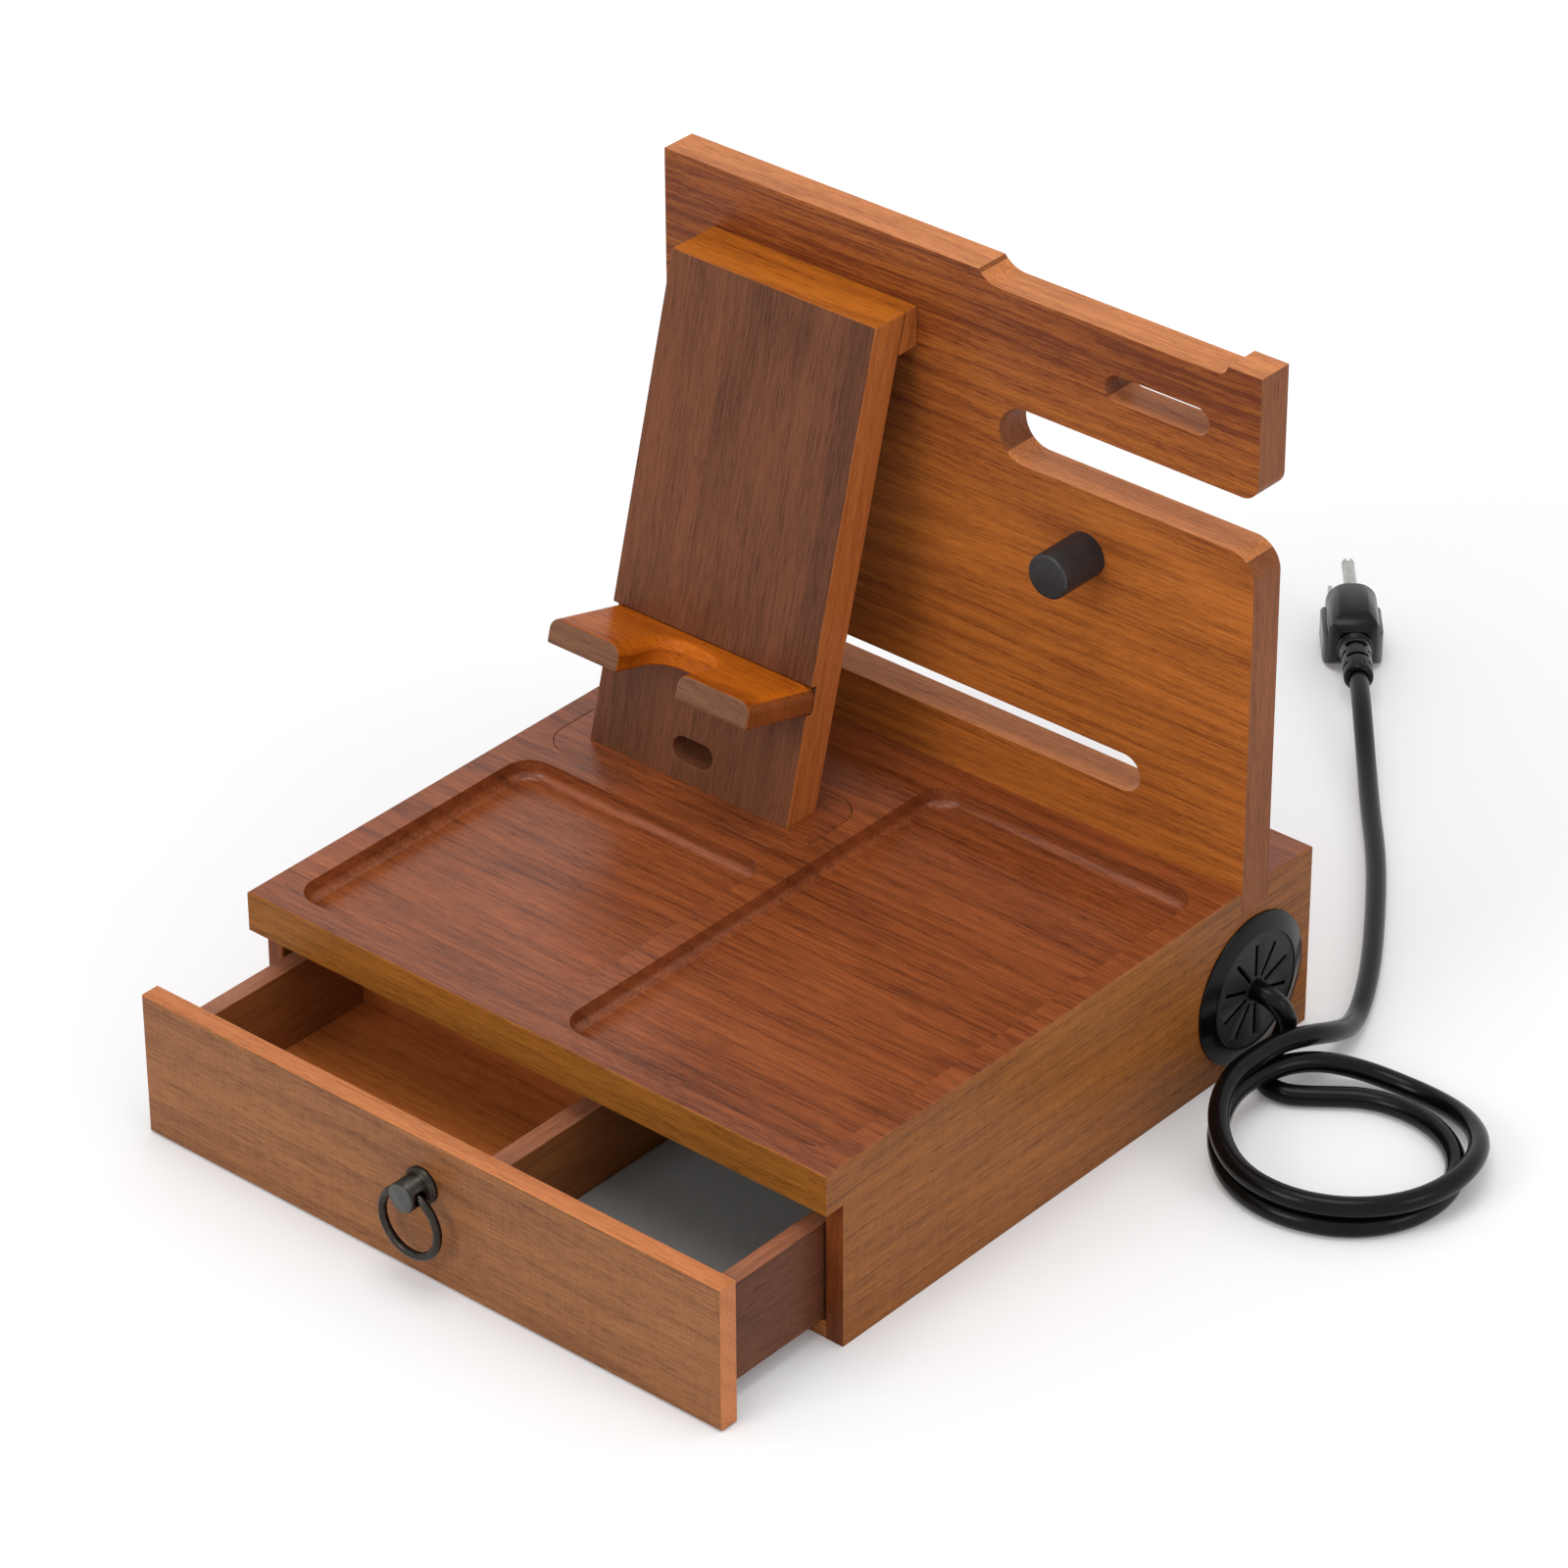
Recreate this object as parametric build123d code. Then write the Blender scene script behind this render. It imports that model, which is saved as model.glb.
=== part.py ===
from build123d import *
import os
from math import acos, cos, degrees, pi, radians, sin, sqrt, tan

# A wooden phone dock: a flat case with a drawer, two trays, a leaning phone stand, a back
# board with a watch arm, a mains unit in the rear and a lead that leaves by a grommet.
# Millimetres. X runs to the right, Y to the back and Z up. The origin is the centre of the
# case's footprint, on the table.

# Case
case_width = 250.0
case_depth = 249.0
case_height = 69.6
top_thickness = 15.0
board_thickness = 7.0
base_thickness = 6.5
top_overhang = 8.0
edge_round = 0.8
fit_gap = 0.1
rear_bay = 75.0

# Trays cut into the top board
tray_depth = 7.0
tray_corner = 10.0
tray_floor_round = 3.0
tray_rib = 9.4
tray_front_rim = 8.8
left_tray_rim = 11.6
right_tray_rim = 8.8
left_tray_gap = 8.5
right_tray_gap = 10.5

# Back board and its watch arm
back_inset = 38.5
back_thickness = 14.0
back_groove_depth = 8.4
back_top = 261.5
arm_start = 10.2
arm_drop = 4.2
arm_step_length = 9.0
arm_lip_width = 13.5
arm_lip_height = 3.6
arm_lip_curve = 4.0
arm_underside = 216.5
arm_corner = 6.0
panel_top = 196.0
panel_corner = 10.0
arm_gap_start = 20.0
cable_slot_length = 163.2
cable_slot_height = 14.0
cable_slot_rise = 26.8
charger_slot_inset = 20.0
charger_slot_length = 42.0
charger_slot_height = 9.8
charger_slot_level = 237.4

# Ring peg
peg_x = 56.6
peg_level = 172.6
peg_diameter = 16.0
peg_length = 20.0
peg_round = 0.8
spigot_diameter = 8.0
spigot_length = 9.0

# Phone stand
stand_inset = 65.8
stand_width = 88.4
stand_thickness = 15.0
stand_lean = 15.0
stand_reach = 66.7
stand_top = 239.5
bracket_height = 15.0
base_plate_width = 112.4
base_plate_depth = 39.5
base_plate_margin = 12.3
base_plate_corner = 12.0
base_plate_thickness = 5.0
hairline = 0.25
cable_hole_width = 17.4
cable_hole_height = 8.0
cable_hole_level = 80.2

# Phone shelf
shelf_level = 108.9
shelf_reach = 31.8
shelf_thickness = 9.6
shelf_seat = 3.0
shelf_round = 4.4
notch_width = 25.8
notch_depth = 24.0
notch_corner = 9.0

# Drawer
drawer_open = 50.0
drawer_front_thickness = 7.5
drawer_front_gap = 0.5
drawer_side_gap = 1.2
drawer_run_gap = 0.4
drawer_side_thickness = 7.0
drawer_wall_top = 43.9
drawer_play = 4.5
drawer_floor_thickness = 4.0
drawer_floor_rise = 3.0
drawer_floor_groove = 3.0
divider_x = 17.4
divider_thickness = 8.0
cross_wall_setback = 86.0
cross_wall_thickness = 7.0
mat_thickness = 1.0
mat_margin = 0.5

# Ring pull
knob_level = 36.4
knob_diameter = 10.7
knob_length = 10.3
rosette_diameter = 13.2
rosette_edge = 1.1
rosette_length = 3.0
knob_chamfer = 0.5
ring_hole_reach = 6.3
ring_hole_diameter = 5.0
ring_diameter = 24.0
ring_wire = 3.0
pull_screw_diameter = 4.0
pull_screw_grip = 3.2
pull_screw_head = 8.0
pull_screw_head_height = 2.4

# Wood screws from below
wood_screw_diameter = 4.0
wood_screw_head = 8.0
wood_screw_head_height = 2.4
wood_screw_bite = 22.0
stand_screw_spacing = 56.0
stand_screw_inset = 10.0
back_screw_inset = 35.0

# Grommet in the right side
grommet_inset = 32.25
grommet_level = 29.6
grommet_hole = 48.0
grommet_flange = 55.6
grommet_bevel = 43.4
grommet_proud = 2.6
grommet_rim_edge = 0.8
membrane_diameter = 42.0
membrane_thickness = 1.5
membrane_inset = 0.3
ledge_width = 1.6
ledge_thickness = 1.0
sleeve_wall = 2.0
sleeve_length = 6.6
slit_count = 10
slit_width = 1.2
slit_inner = 5.2
slit_outer = 17.4

# Power unit in the rear
plate_width = 130.0
plate_height = 44.0
plate_thickness = 2.2
plate_corner = 3.0
plate_bevel = 0.9
unit_level = 27.4
housing_inset = 9.5
housing_height = 35.0
housing_depth = 45.0
cutout_gap = 0.5
outlet_width = 28.0
outlet_height = 27.0
outlet_corner = 2.0
outlet_proud = 3.4
outlet_bevel = 1.5
outlet_depth = 19.0
outlet_places = (0.275, 0.024)
blade_slot_height = 2.2
blade_slot_width = 7.6
blade_spacing = 12.7
ground_offset = 11.9
ground_hole = 5.4
blade_slot_shift = 7.0
socket_depth = 18.0
port_depth = 14.0
port_recess = 1.6
port_lip = 0.4
port_corner = 2.4
usb_c_place = -0.232
usb_c_frame_width = 13.0
usb_c_frame_height = 17.6
usb_c_width = 3.4
usb_c_height = 9.2
usb_c_wall = 0.35
usb_a_place = -0.355
usb_a_frame_width = 12.6
usb_a_frame_height = 17.6
usb_a_width = 10.2
usb_a_height = 15.2
usb_a_corner = 1.4
usb_a_wall = 0.45
usb_a_proud = 0.5
usb_a_tongue = 2.4
usb_tongue_length = 9.0
plate_screw_inset = 5.5
plate_screw_head = 6.4
plate_screw_head_height = 1.3
plate_screw_diameter = 3.0
plate_screw_length = 8.5

# Lead
cord_diameter = 7.2
cord_rest = 3.7
relief_length = 24.0
relief_wide = 12.0
relief_narrow = 8.8
coil_offset = (59.8, -24.55)
coil_start_angle = 128.5
coil_sweep = 671.0
coil_inner_radius = 31.0
coil_outer_radius = 42.6
layer_rise = 7.7

# Mains plug
plug_axis_level = 12.1
plug_turn = 50.0
plug_relief_length = 23.0
plug_collar = 13.2
plug_collar_length = 3.0
plug_sleeve_wide = 11.6
plug_sleeve_narrow = 10.8
sleeve_slot_count = 4
sleeve_slot_pitch = 3.9
sleeve_slot_height = 1.5
sleeve_slot_width = 8.0
sleeve_core = 8.6
plug_neck = 12.0
plug_length = 26.0
plug_straight = 14.5
plug_width = 22.4
plug_height = 23.4
plug_base_height = 13.4
plug_base_corner = 2.0
plug_top_width = 19.0
plug_top_corner = 8.0
blade_length = 21.0
blade_width = 6.4
blade_thickness = 1.6
blade_hole = 3.2
blade_drop = 4.6
ground_pin = 4.8
ground_pin_bore = 2.4
ground_pin_slot = 1.4
ground_pin_mouth = 3.0

# Places that follow from the sizes
half_width = case_width / 2
front_y = -case_depth / 2
rear_y = case_depth / 2
partition_y = rear_y - rear_bay
top_underside = case_height - top_thickness
back_y = rear_y - back_inset
foot_y = back_y - stand_reach
base_plate_y = foot_y - base_plate_margin
stand_x = -half_width + stand_inset
lean = radians(stand_lean)
grommet_y = rear_y - grommet_inset
drawer_y = front_y - drawer_open
drawer_box_y = drawer_y + drawer_front_thickness
drawer_back_y = partition_y - drawer_play - drawer_open
drawer_half = half_width - board_thickness - drawer_side_gap
drawer_inner_half = drawer_half - drawer_side_thickness
drawer_base = base_thickness + drawer_run_gap
drawer_floor_bottom = drawer_base + drawer_floor_rise
drawer_floor_top = drawer_floor_bottom + drawer_floor_thickness
knob_hole_y = drawer_y - ring_hole_reach
housing_width = plate_width - 2 * housing_inset
housing_y = rear_y - housing_depth
unit_face_y = rear_y + plate_thickness
outlet_x = [plate_width * place for place in outlet_places]
usb_c_x = plate_width * usb_c_place
usb_a_x = plate_width * usb_a_place
membrane_face_x = half_width + grommet_proud - membrane_inset
coil_centre = (half_width + coil_offset[0], grommet_y + coil_offset[1])


def block(x_span, y_span, z_span):
    """A box between pairs of coordinates."""
    spans = (x_span, y_span, z_span)
    centre = [(low + high) / 2 for low, high in spans]
    return Pos(*centre) * Box(*[high - low for low, high in spans])


def around(middle, width):
    """The two ends of a span of this width about its middle."""
    return (middle - width / 2, middle + width / 2)


def prism_x(points, x_span):
    """A profile in Y and Z, drawn out along X."""
    outline = Polyline([(x_span[0], y, z) for y, z in points], close=True)
    return extrude(make_face(outline), amount=x_span[1] - x_span[0], dir=(1, 0, 0))


def turned(points, plane):
    """A profile of radius and height, turned about a plane's normal."""
    outline = Polyline([(radius, 0, height) for radius, height in points], close=True)
    return plane.location * revolve(make_face(outline), axis=Axis.Z)


def slot_y(centre_x, centre_z, width, height, y_span):
    """A round-ended bar along Y, as long as the span, for a slot through a board."""
    plane = Plane(origin=(centre_x, y_span[0], centre_z), x_dir=(1, 0, 0), z_dir=(0, -1, 0))
    if width > height:
        shape = SlotOverall(width, height)
    else:
        shape = SlotOverall(height, width, rotation=90)
    return extrude(plane * shape, amount=-(y_span[1] - y_span[0]))


def wood_screw(x, y, z_head, z_tip, grow=0.0):
    """A countersunk screw that points up, or the hole for one."""
    head = wood_screw_head / 2 + grow
    shank = wood_screw_diameter / 2 + grow
    shape = [
        (0, -grow),
        (head, -grow),
        (head, 0.3),
        (shank, wood_screw_head_height + 0.3),
        (shank, z_tip - z_head + grow),
        (0, z_tip - z_head + grow),
    ]
    return turned(shape, Plane(origin=(x, y, z_head)))


def stand_screw_set(grow=0.0):
    """The two screws that hold the leaning stand to the top board."""
    middle = foot_y + stand_screw_inset
    tip = case_height + wood_screw_bite
    return [
        wood_screw(x, middle, top_underside, tip, grow)
        for x in around(stand_x, stand_screw_spacing)
    ]


def back_screw_set(grow=0.0):
    """The three screws that hold the back board in its groove."""
    middle = back_y + back_thickness / 2
    tip = case_height - back_groove_depth + wood_screw_bite
    spacing = half_width - back_screw_inset
    return [
        wood_screw(step * spacing, middle, top_underside, tip, grow)
        for step in (-1, 0, 1)
    ]


def tray_pocket(x_span, y_back):
    """The round-cornered hollow of one tray, with a rounded edge round its floor."""
    y_span = (front_y + tray_front_rim, y_back)
    width = x_span[1] - x_span[0]
    depth = y_span[1] - y_span[0]
    centre = ((x_span[0] + x_span[1]) / 2, (y_span[0] + y_span[1]) / 2)
    plane = Plane.XY.offset(case_height - tray_depth)
    outline = plane * Pos(*centre) * RectangleRounded(width, depth, tray_corner)
    pocket = extrude(outline, amount=tray_depth * 2)
    floor_edges = pocket.faces().sort_by(Axis.Z)[0].edges()
    return fillet(floor_edges, tray_floor_round)


def stand_plate(grow=0.0):
    """The plate under the stand, or with grow the pocket that it is let into."""
    depth = base_plate_depth + 2 * grow
    centre_y = base_plate_y + base_plate_depth / 2
    plane = Plane.XY.offset(case_height - base_plate_thickness)
    outline = RectangleRounded(base_plate_width + 2 * grow, depth, base_plate_corner + grow)
    plate = extrude(plane * Pos(stand_x, centre_y) * outline, amount=base_plate_thickness)
    if grow > 0:
        plate = plate + Pos(0, 0, base_plate_thickness / 2) * plate
    return plate


def make_top_board():
    """The top board with its trays, the plate's pocket and the back board's groove."""
    board = block((-half_width, half_width), (front_y, rear_y), (top_underside, case_height))
    board = fillet(board.faces().sort_by(Axis.Z)[-1].edges(), edge_round)
    board -= tray_pocket((-half_width + left_tray_rim, -tray_rib / 2), base_plate_y - left_tray_gap)
    board -= tray_pocket((tray_rib / 2, half_width - right_tray_rim), back_y - right_tray_gap)
    board -= stand_plate(hairline)
    groove = (back_y - fit_gap, back_y + back_thickness + fit_gap)
    groove_floor = case_height - back_groove_depth
    board -= block((-case_width, case_width), groove, (groove_floor, case_height * 2))
    for hole in stand_screw_set(fit_gap) + back_screw_set(fit_gap):
        board -= hole
    return board


def make_side(hand):
    """One side of the case, mitred at the rear; the right one has the grommet's hole."""
    outer = hand * half_width
    inner = hand * (half_width - board_thickness)
    corners = [
        (outer, front_y + top_overhang),
        (outer, rear_y),
        (inner, rear_y - board_thickness),
        (inner, front_y + top_overhang),
    ]
    outline = Polyline([(x, y, 0) for x, y in corners], close=True)
    side = extrude(make_face(outline), amount=top_underside, dir=(0, 0, 1))
    if hand > 0:
        axis = Plane(origin=(inner, grommet_y, grommet_level), z_dir=(1, 0, 0))
        side -= axis.location * Cylinder(grommet_hole / 2, board_thickness * 4)
    return side


def make_bottom_board():
    """The bottom board, let in between the sides."""
    inner = half_width - board_thickness
    y_span = (front_y + top_overhang, rear_y - board_thickness)
    return block((-inner, inner), y_span, (0, base_thickness))


def make_rear_panel():
    """The rear panel, mitred at both ends, with the power unit's cut-out."""
    inner = half_width - board_thickness
    corners = [
        (-half_width, rear_y),
        (half_width, rear_y),
        (inner, rear_y - board_thickness),
        (-inner, rear_y - board_thickness),
    ]
    outline = Polyline([(x, y, 0) for x, y in corners], close=True)
    panel = extrude(make_face(outline), amount=top_underside, dir=(0, 0, 1))
    wide = around(0, housing_width + 2 * cutout_gap)
    high = around(unit_level, housing_height + 2 * cutout_gap)
    panel -= block(wide, (rear_y - 3 * board_thickness, rear_y + board_thickness), high)
    for x in plate_screw_x():
        panel -= plate_screw(x, fit_gap)
    return panel


def make_partition():
    """The board that shuts the drawer's bay off from the power unit."""
    inner = half_width - board_thickness
    y_span = (partition_y, partition_y + board_thickness)
    return block((-inner, inner), y_span, (base_thickness, top_underside))


def cove(edge, floor):
    """A hollow curve that falls from an edge and runs out level at a lower point."""
    drop = edge.Z - floor.Z
    radius = ((edge.X - floor.X) ** 2 + drop**2) / (2 * drop)
    centre = floor + Vector(0, 0, radius)
    middle = ((edge - centre).normalized() + (floor - centre).normalized()).normalized()
    return ThreePointArc(edge, centre + middle * radius, floor)


def make_back_board():
    """The back board, with its cable slot, the watch arm and the gap under the arm."""
    arm_top = back_top - arm_drop
    lip_x = half_width - arm_lip_width
    bottom = case_height - back_groove_depth
    outline = [
        (-half_width, bottom),
        (-half_width, back_top),
        (arm_start, back_top),
        (arm_start + arm_step_length, arm_top),
        (lip_x - arm_lip_curve, arm_top),
        (lip_x, arm_top + arm_lip_height),
        (half_width, arm_top + arm_lip_height),
        (half_width, bottom),
    ]
    far_y = back_y + back_thickness
    points = [Vector(x, back_y, z) for x, z in outline]
    edges = [Line(points[7], points[0]), Line(points[0], points[1]), Line(points[1], points[2])]
    edges += [cove(points[2], points[3]), Line(points[3], points[4]), cove(points[5], points[4])]
    edges += [Line(points[5], points[6]), Line(points[6], points[7])]
    board = extrude(make_face(Wire(edges)), amount=back_thickness, dir=(0, 1, 0))
    through = (back_y - back_thickness, far_y + back_thickness)
    gap_height = arm_underside - panel_top
    gap_level = (arm_underside + panel_top) / 2
    gap_end = half_width + gap_height * 2
    gap = slot_y((arm_gap_start + gap_end) / 2, gap_level, gap_end - arm_gap_start, gap_height, through)
    board -= gap
    slot_level = case_height + cable_slot_rise
    board -= slot_y(0, slot_level, cable_slot_length, cable_slot_height, through)
    charger_x = half_width - charger_slot_inset - charger_slot_length / 2
    board -= slot_y(charger_x, charger_slot_level, charger_slot_length, charger_slot_height, through)
    ends = board.edges().filter_by(Axis.Y).filter_by_position(Axis.X, half_width - 0.1, half_width + 0.1)
    ends = ends.sort_by(Axis.Z)
    board = fillet(ends[1], panel_corner)
    ends = board.edges().filter_by(Axis.Y).filter_by_position(Axis.X, half_width - 0.1, half_width + 0.1)
    board = fillet(ends.sort_by(Axis.Z)[-2], arm_corner)
    seat = Plane(origin=(peg_x, back_y, peg_level), z_dir=(0, 1, 0))
    board -= seat.location * Cylinder(spigot_diameter / 2 + fit_gap, spigot_length * 2 + 2 * fit_gap)
    for hole in back_screw_set(fit_gap):
        board -= hole
    return board


def make_ring_peg():
    """The ring peg: a smooth pin with a spigot in the back board."""
    radius = peg_diameter / 2
    shape = [
        (0, -spigot_length),
        (spigot_diameter / 2, -spigot_length),
        (spigot_diameter / 2, 0),
        (radius, 0),
        (radius, peg_length - peg_round),
        (radius - peg_round, peg_length),
        (0, peg_length),
    ]
    return turned(shape, Plane(origin=(peg_x, back_y, peg_level), z_dir=(0, -1, 0)))


def stand_face_y(level):
    """Where the stand's leaning front face is at this height."""
    return foot_y + (level - case_height) * tan(lean)


def shelf_plane():
    """The shelf's own plane: its underside, with the plane's -Y pointing away from the stand."""
    origin = (stand_x, stand_face_y(shelf_level), shelf_level)
    return Plane(origin=origin, x_dir=(1, 0, 0), z_dir=(0, sin(lean), cos(lean)))


def make_phone_stand():
    """The leaning board of the stand, with the cable hole and the shelf's groove."""
    depth = stand_thickness / cos(lean)
    profile = [
        (foot_y, case_height),
        (foot_y + depth, case_height),
        (stand_face_y(stand_top) + depth, stand_top),
        (stand_face_y(stand_top), stand_top),
    ]
    board = prism_x(profile, around(stand_x, stand_width))
    through = (foot_y - stand_thickness, foot_y + stand_thickness * 3)
    board -= slot_y(stand_x, cable_hole_level, cable_hole_width, cable_hole_height, through)
    groove = Box(stand_width * 2, shelf_seat * 2, shelf_thickness + 2 * fit_gap)
    board -= shelf_plane().location * Pos(0, 0, shelf_thickness / 2) * groove
    for hole in stand_screw_set(fit_gap):
        board -= hole
    return board


def make_stand_bracket():
    """The level block that ties the stand's head to the back board."""
    depth = stand_thickness / cos(lean)
    low = stand_top - bracket_height
    profile = [
        (stand_face_y(low) + depth, low),
        (back_y, low),
        (back_y, stand_top),
        (stand_face_y(stand_top) + depth, stand_top),
    ]
    return prism_x(profile, around(stand_x, stand_width))


def make_phone_shelf():
    """The phone shelf: a board square to the stand, with a cable notch between two lips."""
    reach = shelf_reach + shelf_seat
    outline = Pos(0, (shelf_seat - shelf_reach) / 2) * Rectangle(stand_width, reach)
    notch = Pos(0, -shelf_reach + notch_depth / 2 - notch_corner) * Rectangle(
        notch_width, notch_depth + 2 * notch_corner
    )
    notch = fillet(notch.vertices().group_by(Axis.Y)[-1], notch_corner)
    shelf = extrude(outline - notch, amount=shelf_thickness)
    top = shelf.faces().sort_by(Axis.Z)[-1]
    front = top.edges().sort_by(Axis.Y)[:2]
    back = top.edges().sort_by(Axis.Y)[-1]
    round_edges = [edge for edge in top.edges() if edge not in front and edge != back]
    shelf = fillet(round_edges, shelf_round)
    return shelf_plane().location * shelf


def make_drawer_front():
    """The drawer's front board, with the pull's screw hole."""
    y_span = (drawer_y, drawer_y + drawer_front_thickness)
    top = top_underside - fit_gap * 4
    board = block((-half_width, half_width), y_span, (drawer_front_gap, top))
    board = fillet(board.faces().sort_by(Axis.Y)[0].edges(), edge_round)
    axis = Plane(origin=(0, drawer_y, knob_level), z_dir=(0, 1, 0))
    hole = Cylinder(pull_screw_diameter / 2 + fit_gap, drawer_front_thickness * 4)
    return board - axis.location * hole


def make_drawer_side(hand):
    """One side of the drawer, grooved for the drawer's floor."""
    x_span = sorted((hand * drawer_half, hand * drawer_inner_half))
    side = block(x_span, (drawer_box_y, drawer_back_y), (drawer_base, drawer_wall_top))
    groove_x = sorted((hand * (drawer_inner_half - 1), hand * (drawer_inner_half + drawer_floor_groove)))
    level = (drawer_floor_bottom - fit_gap, drawer_floor_top + fit_gap)
    return side - block(groove_x, (drawer_box_y - 1, drawer_back_y + 1), level)


def make_drawer_back():
    """The drawer's back, between its sides and above its floor."""
    inner = drawer_inner_half
    y_span = (drawer_back_y - drawer_side_thickness, drawer_back_y)
    return block((-inner, inner), y_span, (drawer_floor_top, drawer_wall_top))


def make_drawer_floor():
    """The drawer's floor, held in the grooves of its sides."""
    reach = drawer_inner_half + drawer_floor_groove - fit_gap
    level = (drawer_floor_bottom, drawer_floor_top)
    return block((-reach, reach), (drawer_box_y, drawer_back_y), level)


def make_drawer_divider():
    """The long divider between the two sides of the drawer."""
    y_span = (drawer_box_y, drawer_back_y - drawer_side_thickness)
    return block(around(divider_x, divider_thickness), y_span, (drawer_floor_top, drawer_wall_top))


def make_cross_wall():
    """The cross wall of the drawer's left half."""
    start = drawer_y + cross_wall_setback
    x_span = (-drawer_inner_half, divider_x - divider_thickness / 2)
    return block(x_span, (start, start + cross_wall_thickness), (drawer_floor_top, drawer_wall_top))


def make_felt_mat():
    """The felt mat that lines the drawer's right half."""
    x_span = (divider_x + divider_thickness / 2 + mat_margin, drawer_inner_half - mat_margin)
    y_span = (drawer_box_y + mat_margin, drawer_back_y - drawer_side_thickness - mat_margin)
    return block(x_span, y_span, (drawer_floor_top, drawer_floor_top + mat_thickness))


def make_pull_boss():
    """The turned knob that carries the ring in a cross hole."""
    radius = knob_diameter / 2
    flare = rosette_diameter / 2
    shape = [
        (0, 0),
        (flare, 0),
        (flare, rosette_edge),
        (radius + (flare - radius) * 0.35, rosette_edge + (rosette_length - rosette_edge) * 0.4),
        (radius, rosette_length),
        (radius, knob_length - knob_chamfer),
        (radius - knob_chamfer, knob_length),
        (0, knob_length),
    ]
    boss = turned(shape, Plane(origin=(0, drawer_y, knob_level), z_dir=(0, -1, 0)))
    cross = Plane(origin=(0, knob_hole_y, knob_level), z_dir=(1, 0, 0))
    boss -= cross.location * Cylinder(ring_hole_diameter / 2, knob_diameter * 3)
    stud = Plane(origin=(0, drawer_y, knob_level), z_dir=(0, -1, 0))
    bite = 2 * (pull_screw_grip + fit_gap)
    return boss - stud.location * Cylinder(pull_screw_diameter / 2 + fit_gap, bite)


def make_pull_screw():
    """The screw that holds the knob from inside the drawer."""
    shank = pull_screw_diameter / 2
    head = pull_screw_head / 2
    shape = [
        (0, -pull_screw_grip),
        (shank, -pull_screw_grip),
        (shank, drawer_front_thickness),
        (head, drawer_front_thickness),
        (head, drawer_front_thickness + pull_screw_head_height * 0.6),
        (head * 0.6, drawer_front_thickness + pull_screw_head_height),
        (0, drawer_front_thickness + pull_screw_head_height),
    ]
    return turned(shape, Plane(origin=(0, drawer_y, knob_level), z_dir=(0, 1, 0)))


def make_pull_ring():
    """The ring, hanging from the knob's cross hole."""
    radius = ring_diameter / 2
    half_bore = knob_diameter / 2
    bow = radius - sqrt(radius**2 - half_bore**2)
    centre = (0, knob_hole_y, knob_level + bow / 2 - radius)
    plane = Plane(origin=centre, z_dir=(0, 1, 0))
    return plane.location * Torus(radius, ring_wire / 2)


def grommet_plane():
    """The grommet's place on the right side, looking out."""
    return Plane(origin=(half_width, grommet_y, grommet_level), x_dir=(0, 1, 0), z_dir=(1, 0, 0))


def make_grommet_ring():
    """The grommet's bevelled flange, its sleeve and the ledge that carries the membrane."""
    seat = membrane_diameter / 2 + fit_gap
    ledge_top = grommet_proud - membrane_inset - membrane_thickness
    ledge_bottom = ledge_top - ledge_thickness
    sleeve = grommet_hole / 2 - fit_gap
    shape = [
        (grommet_flange / 2, 0),
        (grommet_flange / 2, grommet_rim_edge),
        (grommet_bevel / 2, grommet_proud),
        (seat, grommet_proud),
        (seat, ledge_top),
        (seat - ledge_width, ledge_top),
        (seat - ledge_width, ledge_bottom),
        (sleeve - sleeve_wall, ledge_bottom),
        (sleeve - sleeve_wall, -sleeve_length),
        (sleeve, -sleeve_length),
        (sleeve, 0),
    ]
    return turned(shape, grommet_plane())


def make_grommet_membrane():
    """The rubber disc that the lead comes through, slit into petals."""
    low = grommet_proud - membrane_inset - membrane_thickness
    disc = Pos(0, 0, low + membrane_thickness / 2) * Cylinder(membrane_diameter / 2, membrane_thickness)
    disc -= Cylinder(cord_diameter / 2 + fit_gap, grommet_proud * 4)
    length = slit_outer - slit_inner
    middle = (slit_outer + slit_inner) / 2
    for step in range(slit_count):
        slit = Rot(0, 0, 360 / slit_count * step) * Pos(0, middle) * Box(slit_width, length, 20)
        disc -= slit
    return grommet_plane().location * disc


def unit_plane():
    """The faceplate's outer face, looking out of the rear."""
    return Plane(origin=(0, unit_face_y, unit_level), x_dir=(-1, 0, 0), z_dir=(0, 1, 0))


def unit_block(x, width, height, corner, proud, depth):
    """A round-cornered block about a point of the faceplate, from proud of it to this depth."""
    plane = unit_plane().offset(proud)
    outline = Pos(-x, 0) * RectangleRounded(width, height, corner)
    return extrude(plane * outline, amount=-(proud + depth))


def unit_holes():
    """The holes for the outlets and ports, from in front of the faceplate to each one's back."""
    modules = [(x, outlet_width, outlet_height, outlet_corner, outlet_depth) for x in outlet_x]
    modules.append((usb_c_x, usb_c_frame_width, usb_c_frame_height, port_corner, port_depth))
    modules.append((usb_a_x, usb_a_frame_width, usb_a_frame_height, port_corner, port_depth))
    return [
        unit_block(x, width + 2 * fit_gap, height + 2 * fit_gap, corner + fit_gap, outlet_proud, depth)
        for x, width, height, corner, depth in modules
    ]


def plate_screw_x():
    """The places of the two faceplate screws along X."""
    return around(0, plate_width - 2 * plate_screw_inset)


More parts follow.
